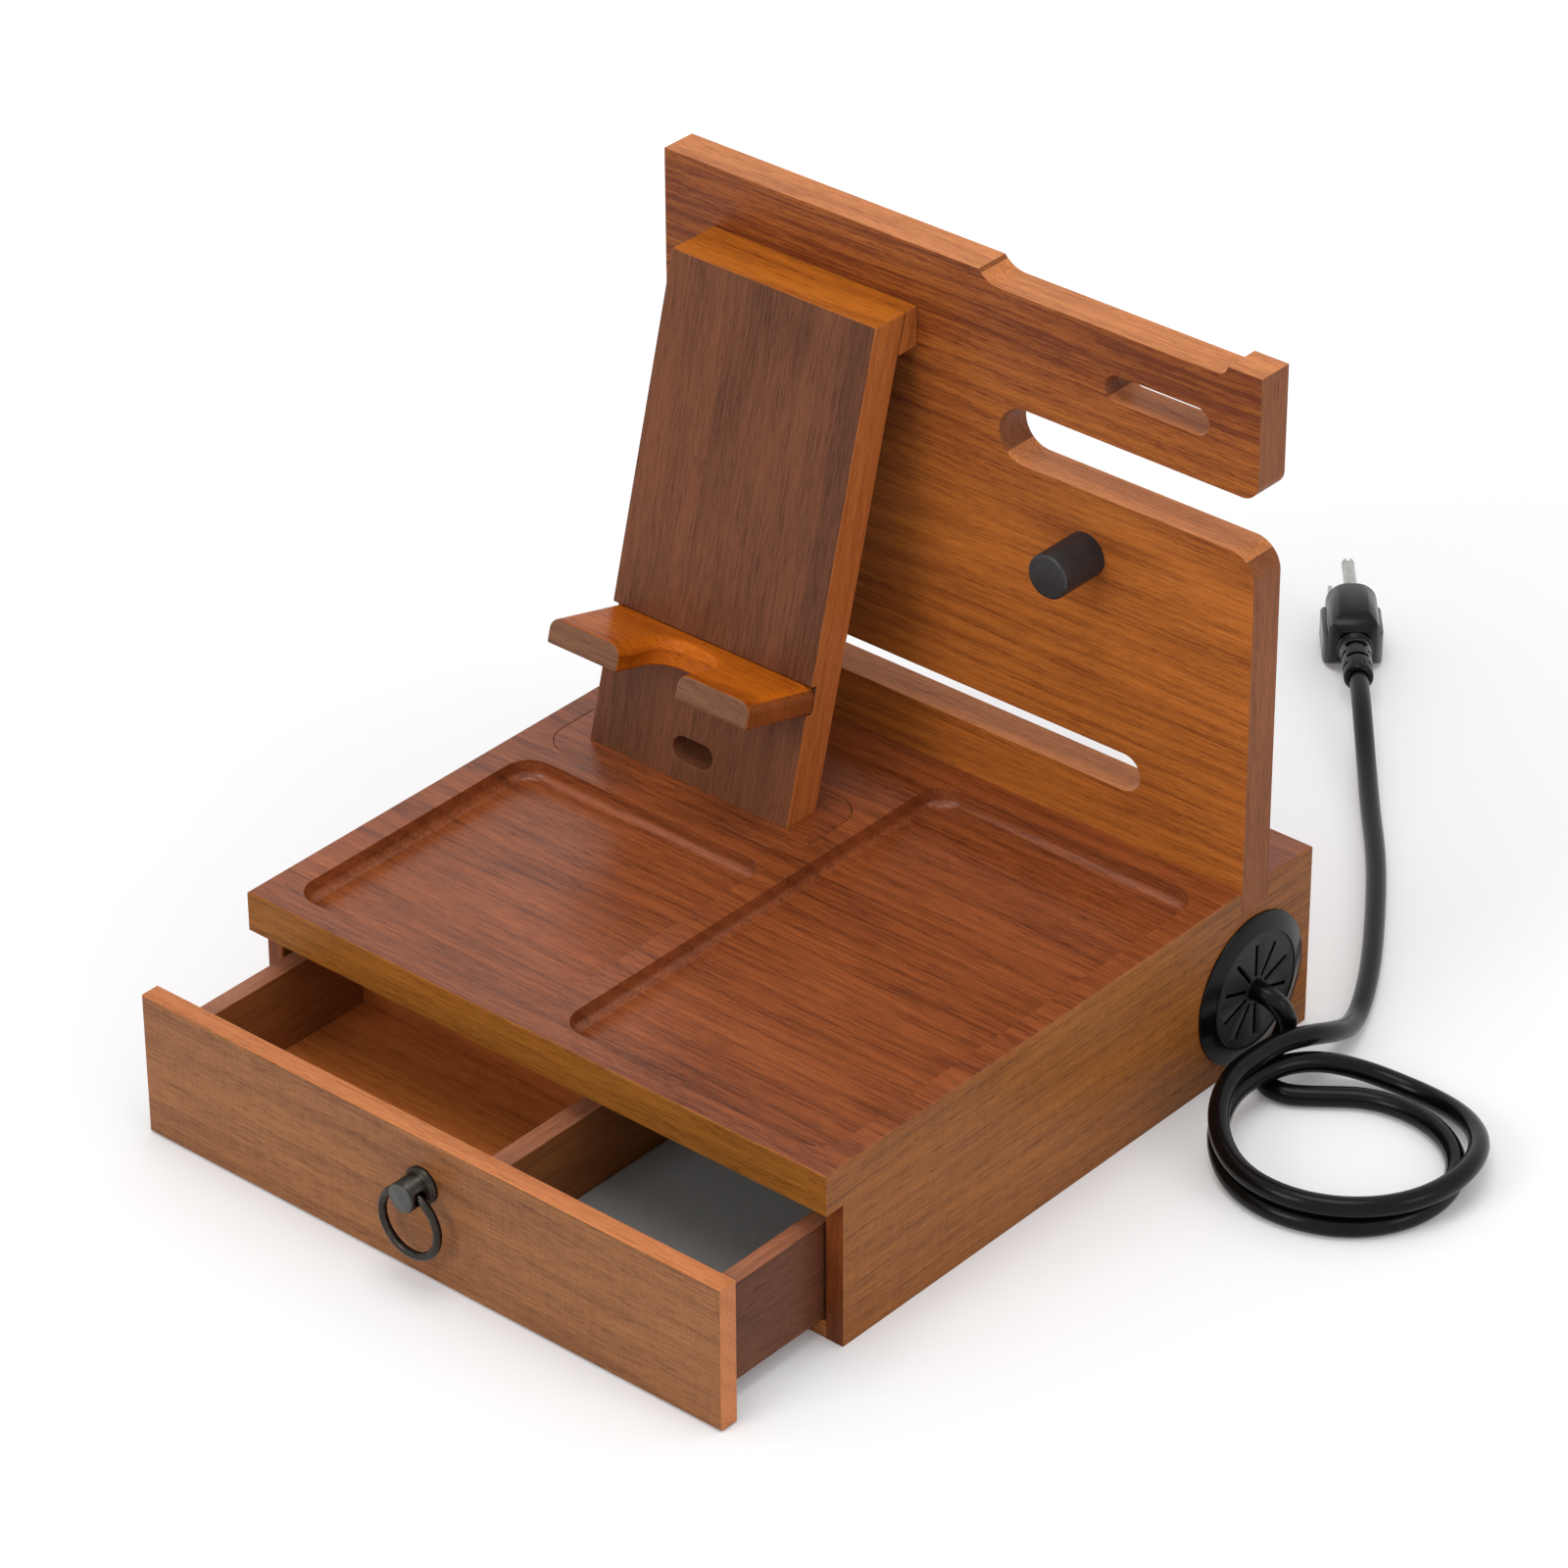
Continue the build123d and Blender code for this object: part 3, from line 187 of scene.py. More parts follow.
class PatternShelf:
    """The shader groups that several finishes share, each built once."""

    def __init__(self) -> None:
        """Builds the groups."""
        self.wood = self._wood_figure()
        self.mould = self._mould_grain()
        self.handling = self._handling()

    @staticmethod
    def _group(
        name: str, inputs: dict[str, tuple[str, object]], outputs: dict[str, str]
    ) -> tuple[NodeBench, Node]:
        """Starts a group with its sockets.

        Args:
            name: The group's name.
            inputs: Each input's socket type and default.
            outputs: Each output's socket type.

        Returns:
            The group's bench and its input node.
        """
        tree = bpy.data.node_groups.new(name, "ShaderNodeTree")
        for label, (kind, default) in inputs.items():
            socket = tree.interface.new_socket(name=label, in_out="INPUT", socket_type=kind)
            if default is not None:
                socket.default_value = default
        for label, kind in outputs.items():
            tree.interface.new_socket(name=label, in_out="OUTPUT", socket_type=kind)
        bench = NodeBench(tree)
        return bench, bench.add("NodeGroupInput")

    def _wood_figure(self) -> NodeTree:
        """Zones, growth rings, threads, ticks and pores of wood whose grain runs along X.

        Returns:
            The group.
        """
        bench, given = self._group(
            "wood_figure",
            {
                "Vector": (VECTOR, None),
                "Light": (COLOUR, (0.5, 0.2, 0.08, 1)),
                "Dark": (COLOUR, (0.2, 0.06, 0.03, 1)),
                **{label: (FLOAT, 0.2) for label in WOOD_MARKS},
                "PaintedShade": (FLOAT, 0.0),
            },
            {"Color": COLOUR, "Roughness": FLOAT, "Height": FLOAT},
        )
        place = given.outputs["Vector"]

        def streaks(stretch: Triple, levels: Pair, detail: float = 1.0) -> NodeSocket:
            """Noise drawn out along the grain.

            Args:
                stretch: The noise's scale along each axis.
                levels: Where there is none of it and where it is full.
                detail: The noise's detail.

            Returns:
                The socket of the streaks.
            """
            scaled = bench.add("ShaderNodeMapping", {"Vector": place, "Scale": stretch}).outputs[0]
            noise = {"Vector": scaled, "Scale": 1.0, "Detail": detail, "Roughness": 0.55, "Distortion": 0.4}
            made = bench.add("ShaderNodeTexNoise", noise)
            return bench.ramp(made.outputs["Fac"], [(levels[0], 0.0), (levels[1], 1.0)])

        tilt = (0.0, math.radians(2.0), math.radians(5.0))
        trunk = {"Vector": place, "Scale": (0.16, 1.0, 1.0), "Rotation": tilt}
        log = bench.add("ShaderNodeMapping", trunk).outputs[0]
        wave = bench.add(
            "ShaderNodeTexWave",
            {"Vector": log, "Scale": 50.0, "Distortion": 7.0, "Detail": 1.5, "Detail Scale": 0.7},
            wave_type="RINGS",
            rings_direction="X",
            wave_profile="SAW",
        )
        parts = {
            "Zones": streaks((7.0, 38.0, 38.0), (0.32, 0.68), 2.0),
            "Rings": bench.ramp(wave.outputs["Fac"], [(0.3, 0.0), (0.88, 1.0), (1.0, 0.1)]),
            "Threads": streaks((36.0, 1300.0, 1300.0), (0.4, 0.64)),
            "Ticks": streaks((120.0, 2000.0, 2000.0), (0.48, 0.62)),
            "Cross": streaks((1700.0, 90.0, 90.0), (0.4, 0.64)),
            "Pores": streaks((240.0, 3000.0, 3000.0), (0.6, 0.7)),
        }
        # The PaintedShade input is painted shade, the darkness that the marks then add to.
        dark = given.outputs["PaintedShade"]
        for label, part in parts.items():
            dark = bench.math("ADD", dark, bench.math("MULTIPLY", part, given.outputs[label]))
        pore_rough, tick_rough, tick_dip = (
            bench.math("MULTIPLY", parts[label], share)
            for label, share in (("Pores", 0.14), ("Ticks", 0.06), ("Ticks", 0.4))
        )
        results = {
            "Color": bench.blend(dark, given.outputs["Light"], given.outputs["Dark"]),
            "Roughness": bench.math("ADD", pore_rough, tick_rough),
            "Height": bench.math("SUBTRACT", 1.0, bench.math("ADD", parts["Pores"], tick_dip)),
        }
        bench.add("NodeGroupOutput", results)
        return bench.tree

    def _mould_grain(self) -> NodeTree:
        """The fine pebbled skin of moulded plastic or rubber.

        Returns:
            The group.
        """
        inputs = {"Vector": (VECTOR, None), "Size": (FLOAT, 1800.0)}
        bench, given = self._group("mould_grain", inputs, {"Height": FLOAT})
        grain = {"Vector": given.outputs["Vector"], "Scale": given.outputs["Size"]}
        cells = bench.add("ShaderNodeTexVoronoi", grain, feature="SMOOTH_F1").outputs["Distance"]
        soft = bench.add("ShaderNodeTexNoise", {**grain, "Detail": 2.0}).outputs["Fac"]
        height = bench.math("ADD", cells, bench.math("MULTIPLY", soft, 0.5))
        bench.add("NodeGroupOutput", {"Height": height})
        return bench.tree

    def _handling(self) -> NodeTree:
        """Faint uneven sheen, as hands and cloths leave it.

        Returns:
            The group.
        """
        inputs = {"Vector": (VECTOR, None), "Roughness": (FLOAT, 0.4), "Amount": (FLOAT, 0.06)}
        bench, given = self._group("handling", inputs, {"Roughness": FLOAT, "Mask": FLOAT})
        cloth = {"Vector": given.outputs["Vector"], "Scale": 34.0, "Detail": 3.0, "Distortion": 0.7}
        smear = bench.add("ShaderNodeTexNoise", cloth).outputs["Fac"]
        varied = bench.math("MULTIPLY", bench.math("SUBTRACT", smear, 0.5), given.outputs["Amount"])
        doubled = bench.math("MULTIPLY", varied, 2.0)
        rough = bench.math("ADD", given.outputs["Roughness"], doubled, clamp=True)
        bench.add("NodeGroupOutput", {"Roughness": rough, "Mask": smear})
        return bench.tree


class Surface:
    """A material in the making: its bench, its shader and its place on the object."""

    def __init__(self, name: str, turn: Triple = ORIGIN, shift: Triple = ORIGIN) -> None:
        """Starts the material on Object coordinates.

        Args:
            name: The material's name.
            turn: How its pattern is turned, in degrees.
            shift: How far its pattern is moved, in metres.
        """
        self.material = bpy.data.materials.new(name)
        self.material.use_nodes = True
        self.bench = NodeBench(self.material.node_tree)
        self.shader = self.bench.add("ShaderNodeBsdfPrincipled")
        self.bench.add("ShaderNodeOutputMaterial", {"Surface": self.shader.outputs[0]})
        place = self.bench.add("ShaderNodeTexCoord").outputs["Object"]
        radians = [math.radians(angle) for angle in turn]
        mapping = {"Vector": place, "Rotation": radians, "Location": shift}
        self.place = self.bench.add("ShaderNodeMapping", mapping).outputs[0]

    def pattern(self, group: NodeTree, **inputs: object) -> bpy.types.bpy_prop_collection:
        """Places a shared group on the object, with its own values, and returns its outputs."""
        inputs["Vector"] = self.place
        return self.bench.add("ShaderNodeGroup", inputs, node_tree=group).outputs

    def noise(self, scale: float, detail: float, roughness: float = 0.5) -> NodeSocket:
        """Adds a plain noise of this fineness."""
        inputs = {"Vector": self.place, "Scale": scale, "Detail": detail, "Roughness": roughness}
        return self.bench.add("ShaderNodeTexNoise", inputs).outputs["Fac"]

    def close(self, inputs: Inputs) -> Material:
        """Feeds the shader and returns the material."""
        self.bench.feed(self.shader, inputs)
        return self.material


@dataclass(frozen=True)
class WoodFinish:
    """Satin-varnished wood on one kind of face."""

    name: str
    light: Colour
    dark: Colour
    grain: Grain
    shift: Triple
    zones: float = 0.26
    rings: float = 0.16
    threads: float = 0.24
    ticks: float = 0.24
    cross: float = 0.0
    pores: float = 0.3
    roughness: float = 0.38
    gloss: float = 0.25
    unevenness: float = 0.07
    relief: float = 0.25
    relief_depth: float = 0.1 * MM
    # stain: painted shade, as stops of height and darkness by which the wood darkens upward.
    stain: tuple[Pair, ...] = ()

    def make(self, patterns: PatternShelf) -> Material:
        """Builds the material.

        Args:
            patterns: The shared shader groups.

        Returns:
            The material.
        """
        surface = Surface(self.name, self.grain.value, self.shift)
        bench = surface.bench
        looks = {label: getattr(self, label.lower()) for label in WOOD_MARKS}
        if self.stain:
            level = bench.add("ShaderNodeSeparateXYZ", {"Vector": surface.place}).outputs["Z"]
            looks["PaintedShade"] = bench.ramp(bench.math("SUBTRACT", level, self.shift[2]), self.stain)
        figure = surface.pattern(patterns.wood, Light=linear(self.light), Dark=linear(self.dark), **looks)
        handled = surface.pattern(patterns.handling, Roughness=self.roughness, Amount=self.unevenness)
        rough = bench.math("ADD", handled["Roughness"], figure["Roughness"], clamp=True)
        return surface.close(
            {
                "Base Color": figure["Color"],
                "Roughness": rough,
                "Specular IOR Level": self.gloss,
                "Normal": bench.bump(figure["Height"], self.relief, self.relief_depth),
            }
        )


@dataclass(frozen=True)
class MouldedFinish:
    """Moulded plastic or rubber with a fine skin."""

    name: str
    colour: Colour
    roughness: float
    grain_size: float = 2200.0
    relief: float = 0.12
    relief_depth: float = 0.08 * MM
    gloss: float = 0.35
    shares: Pair = (0.85, 1.25)

    def make(self, patterns: PatternShelf) -> Material:
        """Builds the material.

        Args:
            patterns: The shared shader groups.

        Returns:
            The material.
        """
        surface = Surface(self.name)
        skin = surface.pattern(patterns.mould, Size=self.grain_size)
        handled = surface.pattern(patterns.handling, Roughness=self.roughness)
        darker, lighter = (linear(self.colour, share) for share in self.shares)
        return surface.close(
            {
                "Base Color": surface.bench.blend(handled["Mask"], darker, lighter),
                "Roughness": handled["Roughness"],
                "Specular IOR Level": self.gloss,
                "Normal": surface.bench.bump(skin["Height"], self.relief, self.relief_depth),
            }
        )


@dataclass(frozen=True)
class MetalFinish:
    """Plated, lacquered or bare metal with faint turning or polishing marks."""

    name: str
    colour: Colour
    worn: Colour
    roughness: float
    metallic: float = 1.0
    unevenness: float = 0.09
    marks: float = 0.08
    marks_depth: float = 0.05 * MM
    wear: tuple[Pair, ...] = ((0.52, 0.0), (0.72, 1.0))

    def make(self, patterns: PatternShelf) -> Material:
        """Builds the material.

        Args:
            patterns: The shared shader groups.

        Returns:
            The material.
        """
        surface = Surface(self.name)
        bench = surface.bench
        handled = surface.pattern(patterns.handling, Roughness=self.roughness, Amount=self.unevenness)
        speck = surface.noise(scale=420.0, detail=3.0)
        wear = bench.ramp(speck, self.wear)
        return surface.close(
            {
                "Base Color": bench.blend(wear, linear(self.colour), linear(self.worn)),
                "Roughness": handled["Roughness"],
                "Metallic": self.metallic,
                "Normal": bench.bump(speck, self.marks, self.marks_depth),
            }
        )


@dataclass(frozen=True)
class FeltFinish:
    """Pressed dark felt with a short nap."""

    name: str
    colour: Colour
    tips: Colour
    nap: float = 0.6
    nap_depth: float = 0.3 * MM

    def make(self, patterns: PatternShelf) -> Material:
        """Builds the material.

        Args:
            patterns: The shared shader groups.

        Returns:
            The material.
        """
        surface = Surface(self.name)
        bench = surface.bench
        skin = surface.pattern(patterns.mould, Size=1500.0)
        fibres = surface.noise(scale=900.0, detail=5.0, roughness=0.8)
        height = bench.math("ADD", skin["Height"], fibres)
        return surface.close(
            {
                "Base Color": bench.blend(fibres, linear(self.colour), linear(self.tips)),
                "Roughness": 0.95,
                "Specular IOR Level": 0.2,
                "Sheen Weight": 0.35,
                "Sheen Roughness": 0.5,
                "Normal": bench.bump(height, self.nap, self.nap_depth),
            }
        )


@dataclass
class FinishShelf:
    """Every finish of the dock, made once."""

    # Painted shade on the back board: it darkens from 0.1 m up towards its top, for the shade that falls on
    # its upper part.
    back_stain: tuple[Pair, ...] = ((0.1, 0.0), (0.19, 0.1), (0.225, 0.35), (0.262, 0.48))

    def woods(self) -> list[WoodFinish]:
        """The finish of each kind of face: its colours are partly the wood's own tone and partly painted
        light and shade, as light falls on the faces that look each way.

        Returns:
            The finishes.
        """
        along, across, up, leaning = Grain.ALONG_X, Grain.ALONG_Y, Grain.UPRIGHT, Grain.LEANING
        wood = WoodFinish
        deck = {"light": (160, 86, 44), "dark": (85, 37, 15), "grain": along}
        deck_figure = {"zones": 0.34, "rings": 0.2, "threads": 0.34, "roughness": 0.26, "gloss": 0.34}
        plate_figure = {"threads": 0.36, "ticks": 0.34, "roughness": 0.28, "gloss": 0.32}
        back_figure = {"zones": 0.3, "rings": 0.2, "threads": 0.26, "ticks": 0.18, "gloss": 0.16}
        shelf_figure = {"zones": 0.5, "rings": 0.3, "roughness": 0.28, "gloss": 0.07}
        back_place = (1.3, -0.078, -0.17)
        return [
            wood("wood_top", **deck, shift=(0.1, 0.3, 0.2), **deck_figure),
            wood("wood_plate", **deck, shift=(2.9, 1.3, 0.4), **plate_figure),
            wood("wood_front_edge", (164, 103, 40), (94, 50, 16), along, (0.6, 0.4, 0.3), gloss=0.1),
            wood("wood_side", (163, 98, 39), (88, 46, 14), across, (0.5, 0.2, 0.4), cross=0.1, gloss=0.16),
            wood("wood_side_end", (133, 69, 32), (84, 38, 17), up, (0.9, 0.2, 0.4), gloss=0.15),
            # Painted light: wood_rear is the same wood as wood_side but paler, for the light that falls on
            # the rear faces.
            wood("wood_rear", (192, 119, 54), (117, 62, 24), along, (0.9, 0.6, 0.4)),
            wood(
                "wood_back", (196, 115, 47), (103, 47, 21), along, back_place,
                stain=self.back_stain, **back_figure,
            ),
            wood("wood_back_end", (149, 88, 48), (88, 44, 22), up, (0.3, 0.7, 1.1), gloss=0.12),
            wood("wood_back_rim", (215, 136, 79), (136, 73, 38), along, (0.2, 0.7, 1.4), gloss=0.16),
            # wood_stand is dark as painted shadow, as a phone resting on the stand casts, on the stand's and
            # the bracket's front faces.
            wood("wood_stand", (125, 76, 50), (69, 38, 23), leaning, (2.2, 0.7, 0.1), zones=0.4, gloss=0.12),
            wood("wood_stand_side", (190, 112, 56), (120, 60, 26), leaning, (2.6, 0.7, 0.1), gloss=0.14),
            wood(
                "wood_head", (193, 109, 32), (112, 52, 14), along, (3.3, 0.2, 0.6),
                zones=0.4, rings=0.3, gloss=0.14,
            ),
            wood("wood_shelf", (198, 103, 22), (106, 41, 6), along, (3.1, 0.2, 0.9), **shelf_figure),
            wood("wood_shelf_edge", (133, 92, 67), (87, 53, 36), along, (3.7, 0.2, 0.9), gloss=0.14),
            wood("wood_shelf_end", (150, 82, 36), (96, 44, 16), leaning, (3.9, 0.2, 0.9), gloss=0.14),
            wood("wood_drawer", (190, 109, 52), (124, 61, 28), along, (4.4, 0.9, 0.3), gloss=0.14),
            # Painted light: wood_floor is paler than wood_drawer, standing in for light in the drawer's
            # shaded inside.
            wood("wood_floor", (208, 122, 58), (137, 70, 32), along, (4.4, 0.9, 0.3), gloss=0.14),
            wood("wood_inside", (155, 96, 52), (101, 55, 28), across, (6.1, 2.4, 0.2), gloss=0.14),
            # wood_wall, on the drawer sides' outer faces, is darker partly as the wood's tone and partly as
            # painted shade.
            wood("wood_wall", (111, 66, 44), (66, 34, 20), across, (6.7, 2.4, 0.2), gloss=0.12),
            wood("wood_wall_rim", (168, 108, 78), (112, 64, 42), across, (6.4, 2.4, 0.2)),
            wood("wood_front", (159, 103, 59), (93, 54, 27), along, (5.6, 1.9, 1.2), cross=0.12, gloss=0.2),
            wood("wood_front_rim", (208, 130, 78), (146, 80, 42), along, (5.2, 1.9, 1.2), gloss=0.16),
        ]

    def make_all(self) -> Materials:
        """Makes the materials.

        Returns:
            Each material under its name.
        """
        others = [
            MouldedFinish("black_plastic", (30, 30, 31), 0.4),
            MouldedFinish("plate_plastic", (56, 57, 58), 0.5, grain_size=1500.0, relief=0.2),
            MouldedFinish("grommet_plastic", (9, 9, 10), 0.2, gloss=0.16),
            MouldedFinish("membrane_rubber", (34, 34, 34), 0.4, gloss=0.14),
            MouldedFinish("slit_shade", (4, 4, 4), 0.8, gloss=0.02),
            MouldedFinish("white_plastic", (226, 226, 224), 0.35),
            MouldedFinish("cord_jacket", (9, 9, 10), 0.22, gloss=0.16),
            MouldedFinish("plug_vinyl", (10, 10, 11), 0.2, gloss=0.2),
            MetalFinish("dark_bronze", (56, 52, 48), (72, 68, 62), 0.33),
            # Painted reflection: the knob's flat end, the same metal as dark_bronze but paler.
            MetalFinish("bronze_painted_reflection", (85, 85, 83), (98, 97, 94), 0.33),
            MetalFinish("black_lacquer", (34, 35, 37), (44, 45, 47), 0.4, metallic=0.1),
            MetalFinish("bright_steel", (200, 200, 198), (176, 176, 176), 0.28),
            MetalFinish("nickel", (176, 174, 170), (150, 148, 144), 0.3),
            MetalFinish("white_zinc", (244, 244, 242), (232, 232, 230), 0.36),
            FeltFinish("dark_felt", (124, 123, 120), (139, 138, 135)),
        ]
        patterns = PatternShelf()
        return {finish.name: finish.make(patterns) for finish in [*self.woods(), *others]}


def dress(piece: Object, material: Material) -> None:
    """Gives a piece one material on all of its faces."""
    piece.data.materials.clear()
    piece.data.materials.append(material)


def piece_from(bm: BMesh, name: str, angle: float = 35.0) -> Object:
    """Turns a finished bmesh into a piece at the origin, shaded smooth between its sharp edges.

    Args:
        bm: The mesh in the making, which is freed.
        name: The piece's name.
        angle: The turn past which an edge is sharp, in degrees.

    Returns:
        The new object, linked to the scene.
    """
    mesh = bpy.data.meshes.new(name)
    bm.to_mesh(mesh)
    bm.free()
    mesh.shade_smooth()
    mesh.set_sharp_from_angle(angle=math.radians(angle))
    piece = bpy.data.objects.new(name, mesh)
    bpy.context.scene.collection.objects.link(piece)
    return piece


def seat(piece: Object, body: str, nodes: Sequence[str], material: Material) -> None:
    """Rides a piece on its body, in the place of its nodes, in its finish.

    Args:
        piece: The piece.
        body: The moving body that carries it.
        nodes: The plain solids that it stands for.
        material: The finish.
    """
    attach(piece, body)
    if nodes:
        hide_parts(*nodes)
    dress(piece, material)
    LOG.info("%s on %s, %d faces", piece.name, body, len(getattr(piece.data, "polygons", ())))


def bevel(bm: BMesh, edges: Iterable[BMEdge], width: float, segments: int = 2) -> None:
    """Rounds edges off.

    Args:
        bm: The mesh in the making.
        edges: Its edges to round.
        width: How far the rounding reaches on each side, in metres.
        segments: The number of faces across it.
    """
    bmesh.ops.bevel(
        bm,
        geom=list(edges),
        offset=width,
        offset_type="OFFSET",
        affect="EDGES",
        segments=segments,
        profile=0.5,
        material=-1,
        clamp_overlap=True,
    )


def sharp_edges(bm: BMesh, angle: float = 40.0) -> list[BMEdge]:
    """The edges between two faces that turn more than an angle."""
    limit = math.radians(angle)
    return [e for e in bm.edges if len(e.link_faces) == 2 and e.calc_face_angle(0.0) > limit]


def merged_copy(node: str, same_point: float = 2e-6, flat: float = 0.4) -> BMesh:
    """A solid's mesh with its points merged and its flat faces made whole.

    Args:
        node: The solid's name.
        same_point: The distance under which points are one, in metres.
        flat: The turn under which two faces are one, in degrees.

    Returns:
        The new mesh in the making.
    """
    bm = bmesh.new()
    bm.from_mesh(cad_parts[node].data)
    bmesh.ops.remove_doubles(bm, verts=bm.verts, dist=same_point)
    bmesh.ops.dissolve_limit(bm, angle_limit=math.radians(flat), verts=bm.verts, edges=bm.edges)
    return bm


def eased_copy(
    node: str, name: str, ease: float, turn: float = 40.0, segments: int = 2, angle: float = 35.0
) -> Object:
    """A piece with a solid's shape and its edges eased.

    Args:
        node: The solid that it takes its shape from.
        name: The piece's name.
        ease: The width of the eased edges, in metres.
        turn: The turn past which an edge is eased, in degrees.
        segments: The number of faces across an eased edge.
        angle: The turn past which an edge is shaded sharp, in degrees.

    Returns:
        The piece.
    """
    bm = merged_copy(node)
    bevel(bm, sharp_edges(bm, turn), ease, segments)
    return piece_from(bm, name, angle)


def spin_round(bm: BMesh, place: Matrix, steps: int = 96) -> None:
    """Spins an outline once round Z into a closed skin, and places it.

    Args:
        bm: The mesh in the making, which holds the outline.
        place: Where the turned shape goes; its Z is the axis.
        steps: The number of faces round.
    """
    bmesh.ops.spin(
        bm,
        geom=bm.verts[:] + bm.edges[:],
        cent=ORIGIN,
        axis=(0, 0, 1),
        angle=math.tau,
        steps=steps,
        use_merge=True,
    )
    bmesh.ops.remove_doubles(bm, verts=bm.verts, dist=1e-7)
    bmesh.ops.recalc_face_normals(bm, faces=bm.faces)
    bmesh.ops.transform(bm, matrix=place, verts=bm.verts)


def turned(profile: Sequence[Pair], place: Matrix, steps: int = 96) -> BMesh:
    """Turns a profile of radius and height about a placed axis.

    Args:
        profile: The points round the section, in metres; radius 0 lies on the axis.
        place: The matrix whose Z is the axis.
        steps: The number of faces round.

    Returns:
        The turned mesh in the making.
    """
    bm = bmesh.new()
    points = [bm.verts.new((radius, 0.0, height)) for radius, height in profile]
    for start, end in zip(points, points[1:]):
        bm.edges.new((start, end))
    if profile[0][0] > 0 or profile[-1][0] > 0:
        bm.edges.new((points[-1], points[0]))
    spin_round(bm, place, steps)
    return bm


def axis_place(origin: Sequence[float], z_axis: Sequence[float], x_axis: Sequence[float]) -> Matrix:
    """Works out where a turned shape goes.

    Args:
        origin: Its origin, in metres.
        z_axis: The way that its axis points.
        x_axis: The way that its X points.

    Returns:
        The place.
    """
    z, x = Vector(z_axis).normalized(), Vector(x_axis).normalized()
    turn = Matrix((x, z.cross(x), z)).transposed()
    return Matrix.Translation(Vector(origin)) @ turn.to_4x4()


@dataclass
class Board:
    """One wooden board: the solid's shape with its corners eased.

    Its edges on the levels of keep_z and keep_y lie against other boards and stay crisp. The
    faces that look the ways of others take those finishes, and with outer_only just the ones
    within a skin of the outside do.
    """

    node: str
    finish: str
    body: str = CASE
    ease: float = 0.45 * MM
    keep_z: tuple[float, ...] = ()
    keep_y: tuple[float, ...] = ()
    keep_slanted: bool = False
    others: dict[Facing, str] = field(default_factory=dict)
    outer_only: bool = False
    skin: float = 3.2 * MM

    def _spared(self, edge: BMEdge) -> bool:
        """Tells whether an edge lies against another board, where it stays crisp.

        Args:
            edge: The edge.

        Returns:
            True where it isn't eased.
        """
        low, high = (v.co for v in edge.verts)

        def on(axis: int, levels: Sequence[float]) -> bool:
            """Tells whether both ends lie on one of these levels."""
            return any(max(abs(low[axis] - at), abs(high[axis] - at)) < SAME_LEVEL for at in levels)

        slanted = min(abs(low.y - high.y), abs(low.z - high.z)) > SAME_LEVEL
        return (self.keep_slanted and slanted) or on(2, self.keep_z) or on(1, self.keep_y)

    def _paint(self, piece: Object, finishes: Materials) -> None:
        """Gives the faces that look these other ways their own finish.

        Args:
            piece: The board.
            finishes: The materials by name.
        """
        slots = {}
        for facing, name in self.others.items():
            if name not in piece.data.materials:
                piece.data.materials.append(finishes[name])
            slots[facing.value] = piece.data.materials.find(name)
        corners = [v.co for v in piece.data.vertices]
        for face in piece.data.polygons:
            axis = max(range(3), key=lambda a: abs(face.normal[a]))
            sign = 1 if face.normal[axis] > 0 else -1
            reach = max(sign * corner[axis] for corner in corners)
            if not self.outer_only or sign * face.center[axis] >= reach - self.skin:
                face.material_index = slots.get((axis, sign), 0)

    def make(self, finishes: Materials) -> None:
        """Builds and dresses the board.

        Args:
            finishes: The materials by name.
        """
        bm = merged_copy(self.node)
        bevel(bm, [e for e in sharp_edges(bm) if not self._spared(e)], self.ease)
        piece = piece_from(bm, f"{self.node}_wood")
        normals = piece.modifiers.new("even_normals", "WEIGHTED_NORMAL")
        normals.keep_sharp = True
        seat(piece, self.body, [self.node], finishes[self.finish])
        self._paint(piece, finishes)


